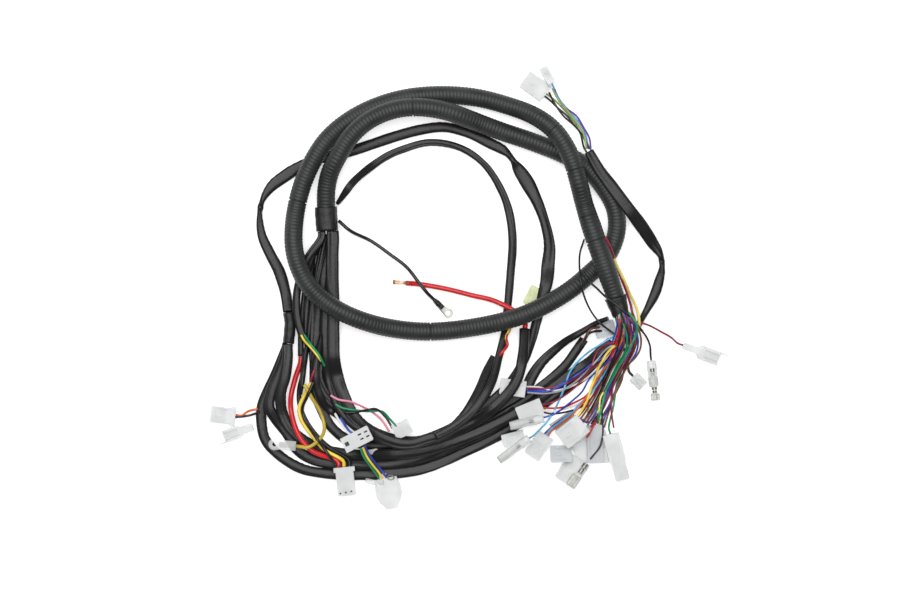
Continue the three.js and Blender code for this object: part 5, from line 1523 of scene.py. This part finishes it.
# The fan, from the lowest wires to the topmost, all of them out of the root: name, colour, the piece
# that each one enters, course
FAN = [
    ("fan_white_crossed", "white", "crossed_housing", [
        (0.1255, -0.0195), (0.1245, -0.0345), (0.118, -0.053), (0.106, -0.068), (0.0985, -0.075),
        (0.0905, -0.0795), (0.0815, -0.083), (0.071, -0.085), (0.06, -0.0825), (0.0475, -0.0815),
    ]),
    ("fan_red_crossed", "dark_red", "crossed_housing", [
        (0.126, -0.0195), (0.1245, -0.036), (0.118, -0.052), (0.1085, -0.063), (0.0985, -0.069),
        (0.0905, -0.074), (0.0795, -0.08), (0.067, -0.083), (0.0485, -0.083),
    ]),
    ("fan_blue_crossed", "blue", "crossed_housing", [
        (0.125, -0.0195), (0.1225, -0.036), (0.117, -0.0505), (0.1115, -0.058), (0.1035, -0.0625),
        (0.093, -0.0705), (0.085, -0.0755), (0.0745, -0.0825), (0.064, -0.086), (0.0485, -0.0855),
    ]),
    ("fan_grey_crossed", "grey", "crossed_housing", [
        (0.127, -0.0195), (0.128, -0.026), (0.1295, -0.037), (0.1265, -0.046), (0.1185, -0.048),
        (0.1135, -0.052), (0.109, -0.0575), (0.102, -0.0655), (0.091, -0.0765), (0.0785, -0.0845),
        (0.0645, -0.0875), (0.049, -0.0865),
    ]),
    ("fan_brown_left", "dark_red", "cluster_housing_upper", [
        (0.1255, -0.0195), (0.1275, -0.0345), (0.1235, -0.0435), (0.1145, -0.0465), (0.109, -0.051),
        (0.1055, -0.057), (0.103, -0.064), (0.096, -0.075), (0.087, -0.084), (0.076, -0.0915),
        (0.0675, -0.0955), (0.0605, -0.0965),
    ]),
    ("fan_white_upper", "white", "cluster_housing_upper", [
        (0.127, -0.0195), (0.1265, -0.041), (0.1195, -0.057), (0.1095, -0.075), (0.101, -0.0875),
        (0.095, -0.0945), (0.085, -0.0985), (0.0765, -0.101), (0.0685, -0.102), (0.062, -0.101),
    ]),
    ("fan_red_upper", "red", "cluster_housing_upper", [
        (0.1265, -0.0195), (0.1245, -0.042), (0.118, -0.058), (0.109, -0.074), (0.099, -0.089),
        (0.0885, -0.095), (0.0795, -0.0985), (0.0685, -0.0995), (0.0615, -0.099),
    ]),
    ("fan_black_upper", "black", "cluster_housing_upper", [
        (0.128, -0.0195), (0.1275, -0.0445), (0.1195, -0.0615), (0.1105, -0.08), (0.102, -0.0925),
        (0.0935, -0.099), (0.082, -0.1025), (0.07, -0.104), (0.063, -0.103),
    ]),
    ("fan_purple_under", "purple", "cluster_housing_corner", [
        (0.1275, -0.0195), (0.1265, -0.043), (0.1165, -0.0615), (0.108, -0.0775), (0.0995, -0.0905),
        (0.0905, -0.101), (0.0785, -0.109), (0.069, -0.1165), (0.063, -0.122),
    ]),
    ("fan_brown_big", "brown", "cluster_housing_big", [
        (0.1285, -0.0195), (0.1295, -0.043), (0.1225, -0.0595), (0.117, -0.0675), (0.113, -0.0765),
        (0.106, -0.09), (0.0995, -0.1), (0.093, -0.109),
    ]),
    ("fan_black_big", "black", "cluster_housing_big", [
        (0.129, -0.0195), (0.1305, -0.0435), (0.1245, -0.059), (0.119, -0.067), (0.1145, -0.0775),
        (0.108, -0.0905), (0.102, -0.101), (0.0955, -0.111),
    ]),
    ("fan_red_big", "dark_red", "cluster_housing_big", [
        (0.128, -0.0195), (0.128, -0.0435), (0.1215, -0.058), (0.115, -0.068), (0.1105, -0.078),
        (0.1035, -0.0905), (0.096, -0.1015), (0.0905, -0.1075),
    ]),
    ("fan_sky_corner", "sky", "cluster_housing_corner", [
        (0.1275, -0.0195), (0.129, -0.0245), (0.1275, -0.041), (0.1205, -0.057), (0.1115, -0.075),
        (0.101, -0.089), (0.092, -0.097), (0.085, -0.1045), (0.0765, -0.1115), (0.0685, -0.118),
        (0.0645, -0.1235),
    ]),
    ("fan_orange_corner", "orange", "cluster_housing_corner", [
        (0.128, -0.0195), (0.13, -0.0245), (0.1275, -0.043), (0.121, -0.0555), (0.1155, -0.064),
        (0.1115, -0.07), (0.106, -0.079), (0.099, -0.09), (0.092, -0.099), (0.085, -0.107),
        (0.0765, -0.114), (0.0695, -0.1195), (0.066, -0.1245),
    ]),
    ("fan_violet_spade", "blue", "spade_sleeve_upper", [
        (0.1285, -0.0195), (0.1305, -0.0245), (0.129, -0.043), (0.1225, -0.0555), (0.1165, -0.0605),
        (0.11, -0.0665), (0.1045, -0.0715), (0.1, -0.0775), (0.095, -0.086), (0.0865, -0.0935),
        (0.078, -0.1), (0.071, -0.1045), (0.0625, -0.107),
    ]),
    ("fan_purple_big", "purple", "cluster_housing_big", [
        (0.1295, -0.0195), (0.1325, -0.0235), (0.134, -0.0395), (0.1305, -0.053), (0.124, -0.0665),
        (0.117, -0.08), (0.1105, -0.093), (0.1035, -0.104), (0.098, -0.112),
    ]),
    ("fan_pink_side", "brown", "cluster_housing_side", [
        (0.127, -0.0195), (0.132, -0.029), (0.1335, -0.036), (0.134, -0.047), (0.129, -0.0595),
        (0.122, -0.075), (0.1155, -0.089), (0.1105, -0.1015), (0.1055, -0.1135),
    ]),
    ("fan_black_middle", "black", "cluster_housing_side", [
        (0.127, -0.0195), (0.131, -0.0315), (0.133, -0.039), (0.1345, -0.0495), (0.1295, -0.063),
        (0.122, -0.0775), (0.1155, -0.0915), (0.1095, -0.104), (0.103, -0.113),
    ]),
    ("fan_purple_side", "purple", "cluster_housing_side", [
        (0.1315, -0.0195), (0.1355, -0.0245), (0.1375, -0.0315), (0.137, -0.0405), (0.135, -0.0505),
        (0.1285, -0.0635), (0.1205, -0.08), (0.114, -0.095), (0.108, -0.1085), (0.1035, -0.114),
    ]),
    ("fan_green_left", "green", "cluster_housing_big", [
        (0.1255, -0.0195), (0.1285, -0.029), (0.131, -0.036), (0.132, -0.0435), (0.131, -0.0515),
        (0.1245, -0.063), (0.117, -0.08), (0.1115, -0.094), (0.1045, -0.106), (0.0995, -0.1135),
    ]),
    ("fan_brown_front", "brown", "cluster_housing_big", [
        (0.1245, -0.0195), (0.124, -0.024), (0.126, -0.0315), (0.1285, -0.039), (0.1295, -0.0465),
        (0.126, -0.0565), (0.1195, -0.068), (0.114, -0.0815), (0.108, -0.094), (0.1005, -0.105),
        (0.0945, -0.1105),
    ]),
    ("fan_blue_middle", "blue", "cluster_housing_side", [
        (0.13, -0.0195), (0.133, -0.0235), (0.135, -0.03), (0.136, -0.038), (0.135, -0.0455),
        (0.1315, -0.0545), (0.1245, -0.067), (0.1185, -0.0815), (0.113, -0.095), (0.108, -0.1085),
        (0.1055, -0.115),
    ]),
    ("fan_red_right", "dark_red", "cluster_housing_side", [
        (0.131, -0.0195), (0.135, -0.025), (0.139, -0.0355), (0.138, -0.047), (0.1345, -0.057),
        (0.1305, -0.0645), (0.1235, -0.0775), (0.1185, -0.089), (0.113, -0.1005), (0.106, -0.111),
        (0.1015, -0.117),
    ]),
    ("fan_brown_right", "brown", "cluster_housing_side", [
        (0.1315, -0.0195), (0.1355, -0.026), (0.1405, -0.038), (0.1385, -0.051), (0.1335, -0.0615),
        (0.1305, -0.068), (0.1285, -0.0775), (0.1235, -0.0875), (0.1175, -0.0985), (0.112, -0.1085),
        (0.1105, -0.115),
    ]),
    ("fan_blue_loop", "blue", "cluster_housing_side", [
        (0.1325, -0.0195), (0.1375, -0.0275), (0.1405, -0.038), (0.1415, -0.0435), (0.1405, -0.052),
        (0.136, -0.0605), (0.129, -0.072), (0.1235, -0.085), (0.1185, -0.0965), (0.114, -0.109),
        (0.112, -0.115),
    ]),
    ("fan_pink_loop", "brown", "cluster_housing_side", [
        (0.133, -0.0195), (0.138, -0.0275), (0.1425, -0.036), (0.144, -0.046), (0.1425, -0.0525),
        (0.1385, -0.0585), (0.1345, -0.0625), (0.131, -0.0685), (0.125, -0.0815), (0.1205, -0.094),
        (0.1165, -0.1075), (0.114, -0.116),
    ]),
    ("fan_dark_red_long", "dark_red", "cluster_housing_long", [
        (0.1295, -0.0195), (0.1325, -0.026), (0.135, -0.043), (0.129, -0.0615), (0.122, -0.078),
        (0.12, -0.09), (0.12, -0.104), (0.1215, -0.116),
    ]),
    ("fan_black_bare", "black", "bare_terminal", [
        (0.127, -0.0195), (0.128, -0.0275), (0.1245, -0.048), (0.118, -0.0645), (0.113, -0.0765),
        (0.112, -0.0865), (0.112, -0.104), (0.1125, -0.1215), (0.11, -0.132), (0.102, -0.1425),
    ]),
]
# What lies over the fan, with the same columns as LOOSE_WIRES
OVER_FAN = [
    ("fan_cream_bit", "cream", None, "cluster_housing_side", FAN_DIAMETER, [
        (0.113, -0.0865), (0.1105, -0.0915), (0.1095, -0.0985), (0.1095, -0.105), (0.11, -0.1125),
    ]),
    ("fan_purple_low", "purple", None, "cluster_housing_big", FAN_DIAMETER, [
        (0.107, -0.1035), (0.1035, -0.1085), (0.0995, -0.1115), (0.0955, -0.1095), (0.092, -0.108),
    ]),
    ("fan_red_low", "red", None, None, FAN_DIAMETER, [
        (0.107, -0.111), (0.104, -0.116), (0.102, -0.12), (0.099, -0.1245),
    ]),
    ("fan_teal_over", "green", ROOT, "cluster_housing_side", FAN_THICK, [
        (0.133, -0.0195), (0.139, -0.0275), (0.14, -0.033), (0.1385, -0.04), (0.1345, -0.048),
        (0.131, -0.055), (0.1265, -0.0625), (0.1225, -0.0705), (0.1185, -0.078), (0.115, -0.0855),
        (0.113, -0.093), (0.1105, -0.1025), (0.108, -0.1125),
    ]),
    ("fan_yellow_over", "yellow", None, "cluster_housing_big", FAN_THICK, [
        (0.122, -0.0475), (0.1185, -0.0505), (0.1155, -0.054), (0.112, -0.06), (0.1085, -0.0665),
        (0.1065, -0.074), (0.103, -0.082), (0.099, -0.0935), (0.095, -0.1005), (0.0905, -0.107),
    ]),
]


def lay_wires(rows):
    for name, colour, start, end, diameter, points in rows:
        lay_wire(name, "wire_" + colour, points, start, end, diameter)


lay_wires(LOOSE_WIRES)
lay_wire("branch_wire_striped", "wire_red", [
    (0.035, -0.033), (0.0315, -0.0405), (0.0325, -0.047), (0.0285, -0.0525), (0.0235, -0.059),
], "supply_branch_sleeve", "right_side_sleeve", 2.4 * MM, 3.2 * MM, "wire_yellow")
for name, colour, end, points in FAN:
    lay_wire(name, "wire_" + colour, points, ROOT, end, FAN_DIAMETER)
lay_wires(OVER_FAN)

# What lies on the tapered housing: a clear sleeve's end and a small ring
RING_CENTRE = (-0.065, -0.1575)
RING_RADII = (2.6 * MM, 1.9 * MM)
RING_WIRE = 1.1 * MM
RING_LIFT = 0.6 * MM
lay_sleeve(
    "tapered_clear_sleeve", [(-0.086, -0.1605), (-0.0785, -0.162), (-0.071, -0.1615)],
    (4.6 * MM, 3 * MM), None, "clear_pvc",
)
turn = np.linspace(0, 2 * np.pi, 25)
ring_height = ground.under(*RING_CENTRE, 2 * MM) + RING_LIFT
ring_path = np.column_stack([
    RING_CENTRE[0] + RING_RADII[0] * np.cos(turn),
    RING_CENTRE[1] + RING_RADII[1] * np.sin(turn),
    np.full(len(turn), ring_height),
])
finish_piece(wire_tube("tapered_ring", ring_path, RING_WIRE, STRAND_SIDES), "tinned_brass")


# Flat pieces of moulding that show between the housings: name, slot, low and high, outline
PALE_PLATES = [
    ("plate_upper", "grey_nylon", 0.2 * MM, 2.4 * MM, [
        (0.0675, -0.114), (0.0745, -0.1195), (0.0895, -0.1065), (0.086, -0.1015),
    ]),
    ("plate_middle", "nylon", 0.2 * MM, 2.6 * MM, [
        (0.086, -0.1335), (0.0945, -0.146), (0.1005, -0.146), (0.101, -0.1195), (0.0985, -0.117),
    ]),
    ("plate_right", "nylon", 0.2 * MM, 3 * MM, [
        (0.112, -0.146), (0.118, -0.146), (0.1155, -0.1195), (0.112, -0.114),
    ]),
    ("plate_link", "nylon", 7 * MM, 9.5 * MM, [
        (-0.086, -0.135), (-0.077, -0.1335), (-0.0695, -0.1395), (-0.082, -0.1385),
    ]),
]
for name, kind, low, high, outline in PALE_PLATES:
    bm = bmesh.new()
    add_plate(bm, outline, low, high)
    plate = piece_of(name, bm)
    bevel(plate)
    finish_piece(plate, kind)

# A solid that nothing has replaced shows itself, in its own slot's material
for node, piece in frame["nodes"].items():
    if node not in CORDS and node not in REPLACED:
        subparts = frame["record"]["subparts"]
        slot = next(part["material_slot"] for part in subparts if part["node"] == node)
        piece.data.materials.clear()
        piece.data.materials.append(MATERIALS[slot])
